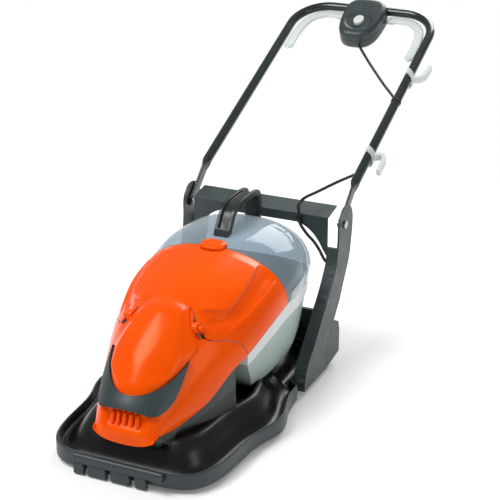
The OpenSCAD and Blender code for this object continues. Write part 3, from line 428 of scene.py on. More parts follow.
def linked(name, data):
    """A new object in the scene."""
    obj = bpy.data.objects.new(name, data)
    bpy.context.scene.collection.objects.link(obj)
    return obj


def new_piece(name, points, faces, looks, index=None, sharp=38.0):
    """A closed mesh piece with smooth faces, sharp edges where it turns and the finishes named."""
    mesh = bpy.data.meshes.new(name)
    mesh.from_pydata(to_row(points).tolist(), [], [list(map(int, f)) for f in faces])
    for finish in looks:
        mesh.materials.append(finishes()[finish])
    if index is not None:
        mesh.polygons.foreach_set("material_index", np.asarray(index, np.int32))
    return shown(name, mesh, sharp)


def shown(name, mesh, sharp):
    """Turns a mesh's faces outward, smooths it and links it as an object."""
    bm = bmesh.new()
    bm.from_mesh(mesh)
    bmesh.ops.recalc_face_normals(bm, faces=bm.faces[:])
    bm.to_mesh(mesh)
    bm.free()
    mesh.shade_smooth()
    mesh.set_sharp_from_angle(angle=math.radians(sharp))
    return linked(name, mesh)


def slab(name, outer, inner, finish):
    """A wall between two grids of points; the cells of the outer grid are its first faces."""
    nu, nv = outer.shape[:2]
    n = nu * nv
    k = np.arange(n).reshape(nu, nv)
    top = np.stack([k[:-1, :-1], k[:-1, 1:], k[1:, 1:], k[1:, :-1]], -1).reshape(-1, 4)
    ring = np.concatenate([k[0, :-1], k[:-1, -1], k[-1, :0:-1], k[:0:-1, 0]])
    rim = np.stack([np.roll(ring, -1), ring, ring + n, np.roll(ring, -1) + n], -1)
    points = np.concatenate([outer.reshape(-1, 3), inner.reshape(-1, 3)])
    return new_piece(name, points, np.concatenate([top, top[:, ::-1] + n, rim]), [finish])


def second_finish(obj, finish, cells):
    """Gives a second finish to the cells of a slab's outer grid that are marked."""
    obj.data.materials.append(finishes()[finish])
    index = np.zeros(len(obj.data.polygons), np.int32)
    index[:cells.size] = cells.ravel()
    obj.data.polygons.foreach_set("material_index", index)


def ring_faces(nk, nj, wrap=False):
    """Quads over nk rings of nj points; without wrap both ends are capped."""
    k = np.arange(nk * nj).reshape(nk, nj)
    low = k if wrap else k[:-1]
    high = np.roll(k, -1, 0) if wrap else k[1:]
    quads = np.stack([low, high, np.roll(high, -1, 1), np.roll(low, -1, 1)], -1).reshape(-1, 4).tolist()
    return quads if wrap else quads + [k[0].tolist(), k[-1, ::-1].tolist()]


def skin(name, rings, finish, sharp=38.0):
    """A closed piece over rings of points."""
    rings = np.asarray(rings, float)
    faces = ring_faces(len(rings), rings.shape[1])
    return new_piece(name, rings.reshape(-1, 3), faces, [finish], sharp=sharp)


def swept(path, radius, sides):
    """Rings round a path, carried along it without twist."""
    way = unit(np.gradient(path, axis=0))
    normal = np.array([0.0, 0.0, 1.0]) if abs(way[0][2]) < 0.8 else np.array([1.0, 0.0, 0.0])
    turn = around(sides)
    rings = []
    for p, d in zip(path, way):
        normal = unit(normal - d * np.dot(normal, d))
        side = np.cross(d, normal)
        rings.append(p + radius * (np.cos(turn)[:, None] * normal + np.sin(turn)[:, None] * side))
    return rings


def rounded(obj, width, angle=38.0):
    """Rounds the edges of a piece that turn by more than angle."""
    bevel = obj.modifiers.new("Edge", "BEVEL")
    bevel.width = width
    bevel.segments = 3
    bevel.limit_method = "ANGLE"
    bevel.angle_limit = math.radians(angle)
    bevel.harden_normals = True


def settle(obj, body, slot, *nodes):
    """A piece rides on its body and stands for its CAD nodes."""
    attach(obj, body)
    if nodes:
        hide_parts(*nodes)


def softened(node, body, slot, finish, width, angle=30.0, widen=1.0, lean=0.0):
    """A copy of a CAD node with merged points and rounded edges, which stands for it.

    widen stretches it about its middle along the handle's slope, or at the angle lean to that.
    """
    bm = bmesh.new()
    bm.from_mesh(FRAME["nodes"][node].data)
    bmesh.ops.remove_doubles(bm, verts=bm.verts[:], dist=1e-5)
    bmesh.ops.dissolve_limit(bm, angle_limit=math.radians(1.0), verts=bm.verts[:], edges=bm.edges[:])
    way = Vector((0.0, *cos_sin(HANDLE_SLOPE + lean)))
    run = [v.co.dot(way) for v in bm.verts]
    middle = (min(run) + max(run)) / 2
    for v, r in zip(bm.verts, run):
        v.co += way * (r - middle) * (widen - 1.0)
    mesh = bpy.data.meshes.new(node + "_visual")
    bm.to_mesh(mesh)
    bm.free()
    mesh.materials.clear()
    mesh.materials.append(finishes()[finish])
    obj = shown(node + "_visual", mesh, angle)
    rounded(obj, width, angle)
    settle(obj, body, slot, node)


def cover(node, s, t, top, low, finish, body, slot, edge):
    """A wall over the body's surface between two heights off it, which stands for its CAD node."""
    obj = slab(node + "_visual", body_off(s, t, top), body_off(s, t, low), finish)
    rounded(obj, edge)
    settle(obj, body, slot, node)
    return obj


def painted(finish, *nodes):
    """CAD nodes that stay get a better material."""
    mat = finishes()[finish]
    for node in nodes:
        obj = FRAME["nodes"][node]
        if not obj.material_slots:
            obj.data.materials.append(mat)
        for place in obj.material_slots:
            place.material = mat


def repeated(name, spots, aims, shape, finish, size=(1.0, 1.0, 1.0)):
    """One shape on each spot, its Z axis along the spot's aim, by Geometry Nodes, as a plain mesh."""
    points = bpy.data.meshes.new(name + "_spots")
    points.from_pydata(to_row(spots).tolist(), [], [])
    aim = points.attributes.new("aim", "FLOAT_VECTOR", "POINT")
    aim.data.foreach_set("vector", np.asarray(aims, np.float32).ravel())
    obj, model = linked(name + "_spots", points), linked(name + "_shape", shape)
    tree = bpy.data.node_groups.new(name + "_repeat", "GeometryNodeTree")
    for label, kind in (
            ("Spots", "Geometry"), ("Shape", "Object"), ("Size", "Vector"), ("Finish", "Material")):
        tree.interface.new_socket(label, in_out="INPUT", socket_type="NodeSocket" + kind)
    tree.interface.new_socket("Mesh", in_out="OUTPUT", socket_type="NodeSocketGeometry")
    given = add(tree, "NodeGroupInput").outputs
    kept = add(tree, "GeometryNodeObjectInfo", None, {"Object": given["Shape"], "As Instance": True})
    named = add(tree, "GeometryNodeInputNamedAttribute", {"data_type": "FLOAT_VECTOR"}, {"Name": "aim"})
    aimed = {"Vector": named.outputs["Attribute"]}
    turn = add(tree, "FunctionNodeAlignRotationToVector", {"axis": "Z"}, aimed)
    put = add(tree, "GeometryNodeInstanceOnPoints", None, {
        "Points": given["Spots"], "Instance": kept.outputs["Geometry"],
        "Rotation": turn.outputs["Rotation"], "Scale": given["Size"]})
    real = add(tree, "GeometryNodeRealizeInstances", None, {"Geometry": put.outputs["Instances"]})
    done = add(tree, "GeometryNodeSetMaterial", None, {
        "Geometry": real.outputs["Geometry"], "Material": given["Finish"]})
    add(tree, "NodeGroupOutput", None, {"Mesh": done.outputs["Geometry"]})
    change = obj.modifiers.new("Repeat", "NODES")
    change.node_group = tree
    inputs = {i.name: i.identifier for i in tree.interface.items_tree if i.in_out == "INPUT"}
    change[inputs["Shape"]] = model
    change[inputs["Size"]] = size
    change[inputs["Finish"]] = finishes()[finish]
    view = bpy.context.evaluated_depsgraph_get()
    mesh = bpy.data.meshes.new_from_object(obj.evaluated_get(view), depsgraph=view)
    mesh.name = name
    for o in (obj, model):
        bpy.data.objects.remove(o)
    bpy.data.node_groups.remove(tree)
    return shown(name, mesh, 38.0)


def capsule(radius, length):
    """A bar with round ends along Z, in metres."""
    bm = bmesh.new()
    bmesh.ops.create_uvsphere(bm, u_segments=20, v_segments=12, radius=radius)
    for v in bm.verts:
        v.co.z += math.copysign(length / 2, v.co.z) if abs(v.co.z) > 1e-7 else 0.0
    mesh = bpy.data.meshes.new("capsule")
    bm.to_mesh(mesh)
    bm.free()
    return mesh


# Materials

def srgb(code):
    """A hex colour as the linear colour that nodes use."""
    parts = [int(code[i:i + 2], 16) / 255 for i in (1, 3, 5)]
    return tuple(c / 12.92 if c <= 0.04045 else ((c + 0.055) / 1.055) ** 2.4 for c in parts) + (1.0,)


def add(tree, kind, settings=None, inputs=None):
    """Adds one node with its settings, and its inputs as values or as sockets to link."""
    node = tree.nodes.new(kind)
    for key, value in (settings or {}).items():
        setattr(node, key, value)
    for key, value in (inputs or {}).items():
        if isinstance(value, bpy.types.NodeSocket):
            tree.links.new(value, node.inputs[key])
        else:
            node.inputs[key].default_value = value
    return node


def blank(name):
    """A new material and its empty node tree."""
    mat = bpy.data.materials.new(name)
    mat.use_nodes = True
    mat.node_tree.nodes.clear()
    return mat, mat.node_tree


def placed(tree):
    return add(tree, "ShaderNodeTexCoord").outputs["Object"]


def noise(tree, place, scale, detail, rough=0.5):
    return add(tree, "ShaderNodeTexNoise", None, {
        "Vector": place, "Scale": scale, "Detail": detail, "Roughness": rough}).outputs["Fac"]


def brought(tree, value, low, high, start=0.0, end=1.0):
    """A value that runs from low to high as the one given runs from start to end."""
    ends = {"From Min": start, "From Max": end, "To Min": low, "To Max": high}
    return add(tree, "ShaderNodeMapRange", None, {"Value": value, **ends}).outputs["Result"]


def toned(tree, share, deep, pale):
    """A colour between two hex colours."""
    return add(tree, "ShaderNodeMix", {"data_type": "RGBA"}, {
        0: share, 6: srgb(deep), 7: srgb(pale)}).outputs[2]


def bumped(tree, height, strength, distance):
    return add(tree, "ShaderNodeBump", None, {
        "Strength": strength, "Distance": distance, "Height": height}).outputs["Normal"]


def principled(tree, inputs):
    return add(tree, "ShaderNodeBsdfPrincipled", None, inputs).outputs["BSDF"]


def mixed(tree, share, first, second):
    return add(tree, "ShaderNodeMixShader", None, {0: share, 1: first, 2: second}).outputs["Shader"]


def surfaced(tree, shader):
    add(tree, "ShaderNodeOutputMaterial", None, {"Surface": shader})


def moulded(name, pale, deep, rough, grain, depth, extra=None):
    """Moulded plastic: a tone that drifts over a hand's breadth, spark-eroded grain and uneven gloss."""
    mat, tree = blank(name)
    place = placed(tree)
    drift = brought(tree, noise(tree, place, 9.0, 3.0), 0.0, 1.0, 0.3, 0.7)
    smear = noise(tree, place, 34.0, 4.0, 0.65)
    inputs = {"Base Color": toned(tree, drift, deep, pale),
              "Roughness": brought(tree, smear, rough * 0.85, rough * 1.2, 0.3, 0.7),
              "Normal": bumped(tree, noise(tree, place, 1 / grain, 2.0), 0.5, depth)}
    inputs.update(extra or {})
    surfaced(tree, principled(tree, inputs))
    return mat


def plated(name, pale, deep, rough, streak):
    """Bare or plated metal: a mirror broken by fine streaks and by stains in the plating."""
    mat, tree = blank(name)
    place = placed(tree)
    stretch = add(tree, "ShaderNodeMapping", None, {"Vector": place, "Scale": (1.0, 1.0, streak)})
    stain = noise(tree, place, 60.0, 5.0, 0.6)
    lines = noise(tree, stretch.outputs["Vector"], 900.0, 2.0)
    surfaced(tree, principled(tree, {
        "Base Color": toned(tree, stain, deep, pale), "Metallic": 1.0,
        "Roughness": brought(tree, stain, rough * 0.7, rough * 1.4),
        "Normal": bumped(tree, lines, 0.25, 0.00004)}))
    return mat


def clear_polycarbonate(name, body, low, high):
    """Clear polycarbonate: shows the inside of the box, paler at a low angle by a painted reflection,
    with slow mould ripple.
    """
    mat, tree = blank(name)
    place = placed(tree)
    ripple = bumped(tree, noise(tree, place, 26.0, 1.0), 0.25, 0.0006)
    facing = add(tree, "ShaderNodeLayerWeight", None, {"Blend": 0.22, "Normal": ripple}).outputs["Facing"]
    # Painted reflection: the base colour runs from the body tint to near white as the surface turns away
    # from view
    outside = principled(tree, {
        "Base Color": toned(tree, facing, body, "#F6FAFC"), "Specular IOR Level": 1.0, "Normal": ripple,
        "Roughness": brought(tree, noise(tree, place, 55.0, 4.0), 0.02, 0.07)})
    through = add(tree, "ShaderNodeBsdfTransparent", None, {"Color": srgb("#E4ECF1")}).outputs["BSDF"]
    surfaced(tree, mixed(tree, brought(tree, facing, low, high), through, outside))
    return mat


def enamelled_copper():
    """Enamelled copper winding: turns as ridges round the motor, coarser than the real wire."""
    mat, tree = blank("enamelled_copper")
    turns = add(tree, "ShaderNodeTexWave", {"bands_direction": "Z"}, {
        "Vector": placed(tree), "Scale": 160.0, "Distortion": 1.2, "Detail": 1.0}).outputs["Fac"]
    surfaced(tree, principled(tree, {
        "Base Color": toned(tree, turns, "#6E3A1C", "#C07A48"), "Metallic": 1.0, "Roughness": 0.35,
        "Normal": bumped(tree, turns, 0.8, 0.0006)}))
    return mat


def finishes():
    """The mower's materials by name, made once."""
    if "finishes" in FRAME:
        return FRAME["finishes"]
    look = bpy.context.scene.mower_finish
    depth = look.grain
    made = FRAME["finishes"] = {
        # Glossy moulded covers: a soft streak of light over an even, strong orange
        "orange": moulded("orange_abs", "#FF5A00", "#FA5200", look.cover_roughness, 0.0009, depth * 0.5,
                          {"Specular IOR Level": 0.4, "Specular Tint": (1.0, 0.5, 0.28, 1.0)}),
        # Textured grey mouldings: satin, with a grain that the light just catches
        "grey": moulded("grey_polypropylene", "#344142", "#2C3839", 0.4, 0.0011, depth * 1.6),
        # Darker grey of the rim and the bar, rubbed smooth by grass
        "slate": moulded("slate_polypropylene", "#2E3A3D", "#273235", 0.36, 0.0011, depth),
        # Glossier, darker grey of the carry handle, worn smooth by hands
        "charcoal": moulded("charcoal_polypropylene", "#262D2E", "#1F2526", 0.3, 0.0011, depth),
        # Black tray: deep black with soft, broad lights
        "black": moulded("black_polypropylene", "#08090A", "#050606", look.hood_roughness, 0.0014,
                         depth * 0.4, {"Specular IOR Level": 0.45}),
        # Grass box: slightly milky, as light goes a little way in; the band under the lid is lighter
        "pale": moulded("pale_polypropylene", "#AFC1BD", "#A3B5B1", 0.38, 0.001, depth,
                        {"Subsurface Weight": 0.12, "Subsurface Radius": (0.004, 0.004, 0.004)}),
        "band": moulded("band_polypropylene", "#DDE3E4", "#D4DBDC", 0.34, 0.001, depth),
        # Light grey controls: smooth and a little waxy
        "light": moulded("light_abs", "#DDE4E3", "#D2DAD9", 0.34, 0.0012, depth * 0.2),
        # Painted steel tube: dark green-black gloss with orange-peel waves
        "paint": moulded("black_tube_paint", "#24302D", "#1D2825", 0.2, 0.006, depth * 0.1,
                         {"Coat Weight": 0.3, "Coat Roughness": 0.06}),
        # Soft black cable jacket: matt with small scuffs
        "rubber": moulded("black_cable_jacket", "#1D1F20", "#141617", 0.46, 0.0007, depth),
        # Plated fixings: dull mirror with cloudy stains
        "zinc": plated("zinc_plated_steel", "#C9CDD0", "#A2A8AD", 0.3, 1.0),
        # Ground blade: darker, with streaks from the wheel
        "blade": plated("ground_blade_steel", "#B8BDC0", "#8D9296", 0.36, 6.0),
        "copper": enamelled_copper(),
        "clear": clear_polycarbonate("clear_polycarbonate", "#A9B9C3", 0.1, 0.75),
        # Painted light: the window's thick flange gathers light and looks nearly white, so it gets a
        # paler, more opaque finish that stands in for that light
        "flange_light": clear_polycarbonate("flange_polycarbonate", "#E3ECF1", 0.5, 0.85),
    }
    return made


def turn_to(obj, at):
    obj.rotation_euler = (Vector(at) - obj.location).to_track_quat("-Z", "Y").to_euler()


def studio_room(scene, strength):
    """Even light from all round; the floor fills the picture."""
    scene.world = bpy.data.worlds.new("studio")
    scene.world.use_nodes = True
    tree = scene.world.node_tree
    tree.nodes.clear()
    light = add(tree, "ShaderNodeBackground", None, {"Color": WHITE, "Strength": strength})
    add(tree, "ShaderNodeOutputWorld", None, {"Surface": light.outputs["Background"]})


def studio_floor():
    """Pale floor that keeps the shadow near the mower and goes to white further out."""
    mat, tree = blank("studio_floor")
    reach = add(tree, "ShaderNodeVectorMath", {"operation": "LENGTH"}, {0: placed(tree)})
    far = add(tree, "ShaderNodeMapRange", {"interpolation_type": "SMOOTHSTEP"}, {
        "Value": reach.outputs["Value"], "From Min": 0.75, "From Max": 1.5})
    near = principled(tree, {
        "Base Color": srgb("#FBFBFB"), "Roughness": 1.0, "Specular IOR Level": 0.0,
        "Emission Color": WHITE, "Emission Strength": 0.12})
    white = add(tree, "ShaderNodeEmission", None, {"Color": WHITE, "Strength": 1.0})
    surfaced(tree, mixed(tree, far.outputs["Result"], near, white.outputs["Emission"]))
    mesh = bpy.data.meshes.new("studio_floor")
    half, low = 14, -0.0005
    corners = [(-half, -half, low), (half, -half, low), (half, half, low), (-half, half, low)]
    mesh.from_pydata(corners, [], [(0, 1, 2, 3)])
    mesh.materials.append(mat)
    linked("studio_floor", mesh)


class MOWER_OT_stage(bpy.types.Operator):
    """Camera at the photograph's place, pale floor and soft studio light"""

    bl_idname = "mower.stage"
    bl_label = "Stage"

    def execute(self, context):
        scene = context.scene
        look = scene.mower_finish
        scene.view_settings.view_transform = "Standard"
        camera = linked("camera", bpy.data.cameras.new("camera"))
        camera.data.lens = LENS
        camera.data.sensor_width = SENSOR
        camera.data.clip_end = 60.0
        camera.location = to_row(CAMERA)[0]
        turn_to(camera, to_row(CAMERA_AIM)[0])
        scene.camera = camera
        for name, place, power, size in (
                ("key_softbox", (-1.3, -1.5, 3.2), look.key, 1.9),
                ("right_softbox", (2.6, -0.9, 1.3), look.fill * 0.55, 1.2),
                ("rear_softbox", (0.2, 3.0, 2.3), look.fill * 5.5, 2.2)):
            lamp = linked(name, bpy.data.lights.new(name, "AREA"))
            lamp.data.energy = power
            lamp.data.size = size
            lamp.location = place
            turn_to(lamp, LIGHT_AIM)
        studio_room(scene, look.sky)
        studio_floor()
        return {"FINISHED"}


class MOWER_OT_cables(bpy.types.Operator):
    """The switch cable: along the tube, across the fold and down the right leg"""

    bl_idname = "mower.cables"
    bl_label = "Cables"

    def execute(self, context):
        radius = context.scene.mower_shape.cable / MM
        for name, route, body in (
                ("cable_upper", UPPER_ROUTE, "upper_handle"), ("cable_middle", FOLD_ROUTE, None),
                ("cable_lower", DECK_ROUTE, "deck")):
            path = curve(route, 8)
            obj = skin(name + "_visual", swept(path, radius, 16), "rubber")
            if body:
                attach(obj, body)
            else:
                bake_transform(obj)
            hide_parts(name)
        return {"FINISHED"}


def lining():
    """Hollow under the shroud's edge that closes each hinge recess from below."""
    u, v = grid(16, 24)
    bowl = ease(4 * u) * ease(4 * v) * ease(4 * (1 - v))
    for name, side in (("right", 54.5), ("left", 125.5)):
        t = side + 11 * (2 * v - 1)
        s = lerp(seam(t) - 0.05, seam(t) - 0.004, u)
        d = lerp(2.2, 9.5, bowl)
        obj = slab(name + "_hinge_lining", body_off(s, t, -d), body_off(s, t, -d - 1.5), "orange")
        settle(obj, "deck", "orange_plastic")


def dome(shape):
    """Raised cover between the collar and the seam."""
    u, v = grid(48, 64)
    w = 2 * v - 1
    t = 90 + w * lerp(43, 20, ease(1.5 * u - 0.5))
    s = lerp(DOME_AT - DOME_REACH * np.sqrt(np.maximum(1 - w * w, 0)), seam(t) - GAP, u)
    fade = ease(7 * u) * ease(7 * (1 - u)) * ease(9 * v) * ease(9 * (1 - v))
    top = DOME_SEAT + shape.dome_lift / MM * lerp(0.3, 1, fade)
    cover("dome_cover", s, t, top, DOME_SEAT, "orange", "deck", "orange_plastic", shape.edge * 0.4)


def collar(shape):
    """Dark band round the dome's nose, with wings that run out along its sides."""
    u, v = grid(10, 112)
    a = np.radians(84 * (2 * v - 1))
    w = (1 - u) * np.cos(np.radians(90 * np.abs(2 * v - 1) ** 9))
    far = 0.47 * spow(np.cos(a), 0.4) + 0.03 * (1 - np.cos(2 * a) ** 2)
    s = DOME_AT - GAP - lerp(DOME_REACH * np.cos(a), far, w)
    t = 90 + lerp(44 * np.sin(a), 52 * spow(np.sin(a), 0.4), w)
    top = DOME_SEAT + shape.dome_lift / MM * 0.8
    cover("trim_collar", s, t, top, DOME_SEAT, "grey", "deck", "dark_plastic", shape.edge)


def ribs():
    """Five short bars on the shelf under the collar."""
    pitch, radius = 14.5, 0.0046
    spots, aims = [], []
    for k in range(5):
        ends = []
        for s in (-0.79, -0.7):
            r = row_at(BODY_ROWS, np.array([s]))[0]
            t = math.degrees(math.acos(spow((k - 2) * pitch / (BODY[0] * r[1]), 1 / r[6])))
            s, t = np.array([s]), np.array([t])
            ends.append(body_off(s, t, 0.6 - 0.7 * scoop(s, t))[0])
        spots.append((ends[0] + ends[1]) / 2)
        aims.append(ends[1] - ends[0])
    length = np.mean([np.linalg.norm(a) for a in aims]) * MM
    obj = repeated("nose_ribs_visual", spots, aims, capsule(radius, length), "orange")
    settle(obj, "deck", "orange_plastic", "nose_ribs")


def housing():
    """Wall from the shroud down to the hood, grey above and black like the hood below."""
    side, over, down, thick = 40, 97, 12, 3
    stations = lerp(-1, seam(0) - GAP, np.linspace(1 / 14, 13 / 14, side))
    s = np.concatenate([stations[::-1], np.full(over, -1.0), stations])
    t = np.concatenate([np.zeros(side), across_angle(np.linspace(0, 1, over)), np.full(side, 180.0)])
    edge = body_off(s, t, -5.0) - (0, 0, 2.4)
    straight = edge * (1.02, 1, 1)
    straight[:, 2] = hood_height(straight[:, 0], straight[:, 1]) - 1.5
    a = np.degrees(np.arctan2(edge[:, 1] - HOOD_Y, edge[:, 0]))
    tucked = hood_border(-90 + (a + 90) * 1.25, 0.58, -4.0)
    foot = lerp(tucked, straight, ease((edge[:, 1:2] + 282) / 60))
    outer = lerp(edge[:, None], foot[:, None], np.linspace(0, 1, down + 1)[None, :, None])
    outward = unit(outer[..., :2] - (0, HOOD_Y))
    inner = outer - thick * np.concatenate([outward, np.zeros(outward.shape[:-1] + (1,))], -1)
    obj = slab("motor_housing_visual", outer, inner, "grey")
    second_finish(obj, "black", np.tile(np.arange(down) >= down // 2, len(edge) - 1))
    rounded(obj, 0.0008)
    settle(obj, "deck", "dark_plastic", "motor_housing")


class MOWER_OT_covers(bpy.types.Operator):
    """Orange shroud and dome, dark collar, nose ribs and the dark wall under them"""

    bl_idname = "mower.covers"
    bl_label = "Front covers"

    def execute(self, context):
        shape = context.scene.mower_shape
        wall = shape.shell / MM
        u, v = grid(64, 128)
        t = across_angle(v)
        s = lerp(-1, seam(t) - GAP - pocket(t, 0.028, 54, 7.2), u)
        deep = scoop(s, t)
        cover("shroud", s, t, -deep, -deep - wall, "orange", "deck", "orange_plastic", shape.edge)
        lining()
        dome(shape)
        collar(shape)
        ribs()
        housing()
        return {"FINISHED"}


class MOWER_OT_hood(bpy.types.Operator):
    """Floating hood as a tray with an upstanding rim, its front bar, wear blocks and rear frame"""

    bl_idname = "mower.hood"
    bl_label = "Hood and frame"

    def execute(self, context):
        shape = context.scene.mower_shape
        a = np.arange(320) * 360 / 320
        shares = np.linspace(0.1, 1, 32)
        rings = [hood_rim(a, d, z) for d, z in RIM_ROWS]
        rings += [hood_border(a, s) for s in shares]
        rings += [hood_plateau(a, v) for v in np.linspace(0.06, 1, 16)]
        rings += [hood_plateau(a, v, HOOD_WALL) for v in np.linspace(1, 0.06, 8)]
        rings += [hood_border(a, s, HOOD_WALL) for s in shares[::-3]]
        rings += [hood_rim(a, HOOD_WALL, z) for z in (24, 10)]
        faces = ring_faces(len(rings), len(a), wrap=True)
        row = np.repeat(np.arange(len(rings)), len(a))
        obj = new_piece("hood_visual", np.concatenate(rings), faces, ["black", "slate"], row < RIM_GREY)
        settle(obj, "deck", "black_plastic", "hood")
        softened("front_bar", "deck", "dark_plastic", "slate", 0.003)
        softened("wear_blocks", "deck", "dark_plastic", "slate", 0.002)
        softened("rear_frame", "deck", "dark_plastic", "grey", shape.mould_edge)
        return {"FINISHED"}


def shell(shape, wall):
    u, v = grid(96, 220)
    t = across_angle(v)
    s = lerp(seam(t) + GAP + pocket(t, 0.013, 51, 4.6), WINDOW_AT - GAP - notch(t), u)
    ridge = shape.ridge / MM * creases(s, from_side(t)) * ease(7 * u) * ease(8 * (1 - u))
    cover("lid_shell", s, t, ridge, ridge - wall, "orange", "lid", "orange_plastic", shape.edge)


def window(shape, wall):
    """Clear cover with a raised flange along its sides and rear."""
    high = 3.5
    u, v = grid(56, 128)
    t = across_angle(v)
    s = lerp(WINDOW_AT + GAP + notch(t), 1.0, u)
    border = np.maximum(ease((s - 0.88) / 0.02), ease((11 - from_side(t)) / 7))
    flange = high * border * ease((s - 0.52) / 0.03)
    top = flange - high * ease((s - 0.97) / 0.03)
    obj = cover("window", s, t, top, -wall, "clear", "lid", "clear_plastic", shape.edge)
    # The flange's cells get the paler finish, painted light for the light that the flange gathers
    second_finish(obj, "flange_light", flange[1:, 1:] > 1.7)


def latch(shape, wall):
    """Pillow-shaped button in the notch."""
    high, fit = 7.5, 0.88
    u, v = grid(24, 40)
    t = 90 + LATCH_ANGLE * fit * (2 * v - 1)
    n = notch(t) * fit + GAP / 2
    crown = high * lerp(0.6, 1, np.sqrt(np.abs(np.sin(np.pi * u) * np.sin(np.pi * v))))
    s = WINDOW_AT + lerp(-n, n, u)
    cover("latch_button", s, t, crown, -2 * wall, "orange", "latch", "orange_plastic", shape.edge)


def boss(name, side):
    """Round boss on the hinge's axis."""
    turn = around(48)
    rings = [np.column_stack([np.full(len(turn), side * (HINGE[0] - x)), HINGE[1] + r * np.cos(turn),
                              HINGE[2] + r * np.sin(turn)]) for x, r in BOSS_ROWS]
    obj = skin(name + "_hinge_boss", rings, "orange")
    settle(obj, "lid", "orange_plastic")


class MOWER_OT_lid(bpy.types.Operator):
    """Orange lid with its creases, clear window, latch, hinge eyes and bosses, and carry handle"""

    bl_idname = "mower.lid"
    bl_label = "Lid"

    def execute(self, context):
        shape = context.scene.mower_shape
        wall = shape.shell / MM
        shell(shape, wall)
        window(shape, wall)
        latch(shape, wall)
        softened("lid_knuckles", "lid", "orange_plastic", "orange", 0.0022)
        for name, side in (("right", 1), ("left", -1)):
            boss(name, side)
        softened("carry_handle", "lid", "dark_plastic", "charcoal", 0.0042)
        return {"FINISHED"}


class MOWER_OT_grass_box(bpy.types.Operator):
    """Pale grass box with its band under the lid, and the hinge pegs"""

    bl_idname = "mower.grass_box"
    bl_label = "Grass box"

    def execute(self, context):
        wall = context.scene.mower_shape.shell / MM
        floor, rear = 58.3, 348
        along = np.linspace(0, 1, 61)
        front = body_pt(0.0, 0.0)
        across = np.linspace(-1, 1, 33)[1:-1, None] * (1, 0, 0)
        rim = np.concatenate([body_pt(along, 0.0), body_pt(1.0, np.linspace(0, 180, 61)[1:]),
                              body_pt(along[::-1][1:], 180.0), front * (0, 1, 1) + front[0] * across])
        length = rear - front[1]

        def ring(r, d, lift):
            kept = 1 - r[2] - r[3] - 2 * d / length
            return np.column_stack([
                rim[:, 0] * (r[1] - d / BODY[0]),
                front[1] + r[2] * length + d + (rim[:, 1] - front[1]) * kept,
                lerp(floor, rim[:, 2] - 0.8, r[0]) + lift])

        section = list(row_at(TUB_ROWS, np.linspace(0, 0.8, 25)))
        rings = [ring(r, 0, 0) for r in section + BAND_ROWS]
        rings += [ring(BAND_ROWS[-1], wall, 0), ring(BAND_ROWS[3], wall, 0)]
        rings += [ring(r, wall, 0) for r in section[:0:-1]] + [ring(section[0], wall, wall)]
        row = np.repeat(np.arange(len(rings) - 1), len(rim))
        band = (row >= len(section) - 1) & (row < len(section) + len(BAND_ROWS))
        obj = new_piece("tub_visual", np.concatenate(rings), ring_faces(len(rings), len(rim)),
                        ["pale", "band"], np.append(band, (False, False)))
        settle(obj, "grass_box", "pale_plastic", "tub")
        softened("tub_pegs", "grass_box", "dark_plastic", "orange", 0.0012)
        return {"FINISHED"}


class MOWER_OT_lower_handle(bpy.types.Operator):
    """Legs, crossbar and pivot bolts of the lower handle, with the cable's clip and gland"""

    bl_idname = "mower.lower_handle"
    bl_label = "Lower handle"

    def execute(self, context):
        width = context.scene.mower_shape.mould_edge
        for node in ("left_leg", "right_leg", "crossbar"):
            softened(node, "deck", "dark_plastic", "grey", width)
        softened("leg_bolts", "deck", "steel", "zinc", 0.0012)
        for node in ("cable_clip", "cable_gland"):
            softened(node, "deck", "black_plastic", "rubber", 0.001)
        return {"FINISHED"}


def tube(radius):
    """Half of the tube from its flattened end to the middle of the top bar, then its mirror image."""
    turn = around(36)
    flat, wide, square = 3, 13, 5

    def section(centre, out, up, a, b, power):
        x = a * spow(np.cos(turn), 2 / power)
        y = b * spow(np.sin(turn), 2 / power)
        return centre + x[:, None] * out + y[:, None] * up

    def turned(angle):
        c, s = cos_sin(angle)
        return np.array([0, c, s]), np.array([0, -s, c])

    across = np.array([1.0, 0.0, 0.0])
    way, up = turned(TANG_SLOPE)
    pivot = np.array([HANDLE_HALF, *PIVOT])
    rings = []
    for d in (-12.95, -12.6, -11.5, -9.5, -6.5, -3, 0, 30, 60, 82):
        half = wide * math.sqrt(1 - (d / wide) ** 2) if d < 0 else wide
        rings.append(section(pivot + d * way, across, up, flat, half, square))
    for d in np.linspace(86, 110, 9):
        k = ease((d - 86) / 24)
        lean = turned(lerp(TANG_SLOPE, HANDLE_SLOPE, k))[1]
        thick, high = lerp(flat, radius, k), lerp(wide, radius, k)
        rings.append(section(pivot + d * way, across, lean, thick, high, lerp(square, 2, k)))
    way, up = turned(HANDLE_SLOPE)
    for d in np.linspace(8, HANDLE_TOP - HANDLE_BEND, 24):
        rings.append(section(on_handle((HANDLE_HALF, d, 0)), across, up, radius, radius, 2))
    for angle in np.linspace(0, 90, 19)[1:]:
        c, s = cos_sin(angle)
        centre = on_handle((HANDLE_HALF - HANDLE_BEND + HANDLE_BEND * c,
                            HANDLE_TOP - HANDLE_BEND + HANDLE_BEND * s, 0))
        rings.append(section(centre, c * across + s * way, up, radius, radius, 2))
    half = np.array(rings)
    mirrored = half[::-1] * (-1, 1, 1)
    obj = skin("handle_tube_visual", np.concatenate([half, mirrored]), "paint")
    rounded(obj, 0.0006)
    settle(obj, "upper_handle", "tube_paint", "handle_tube")


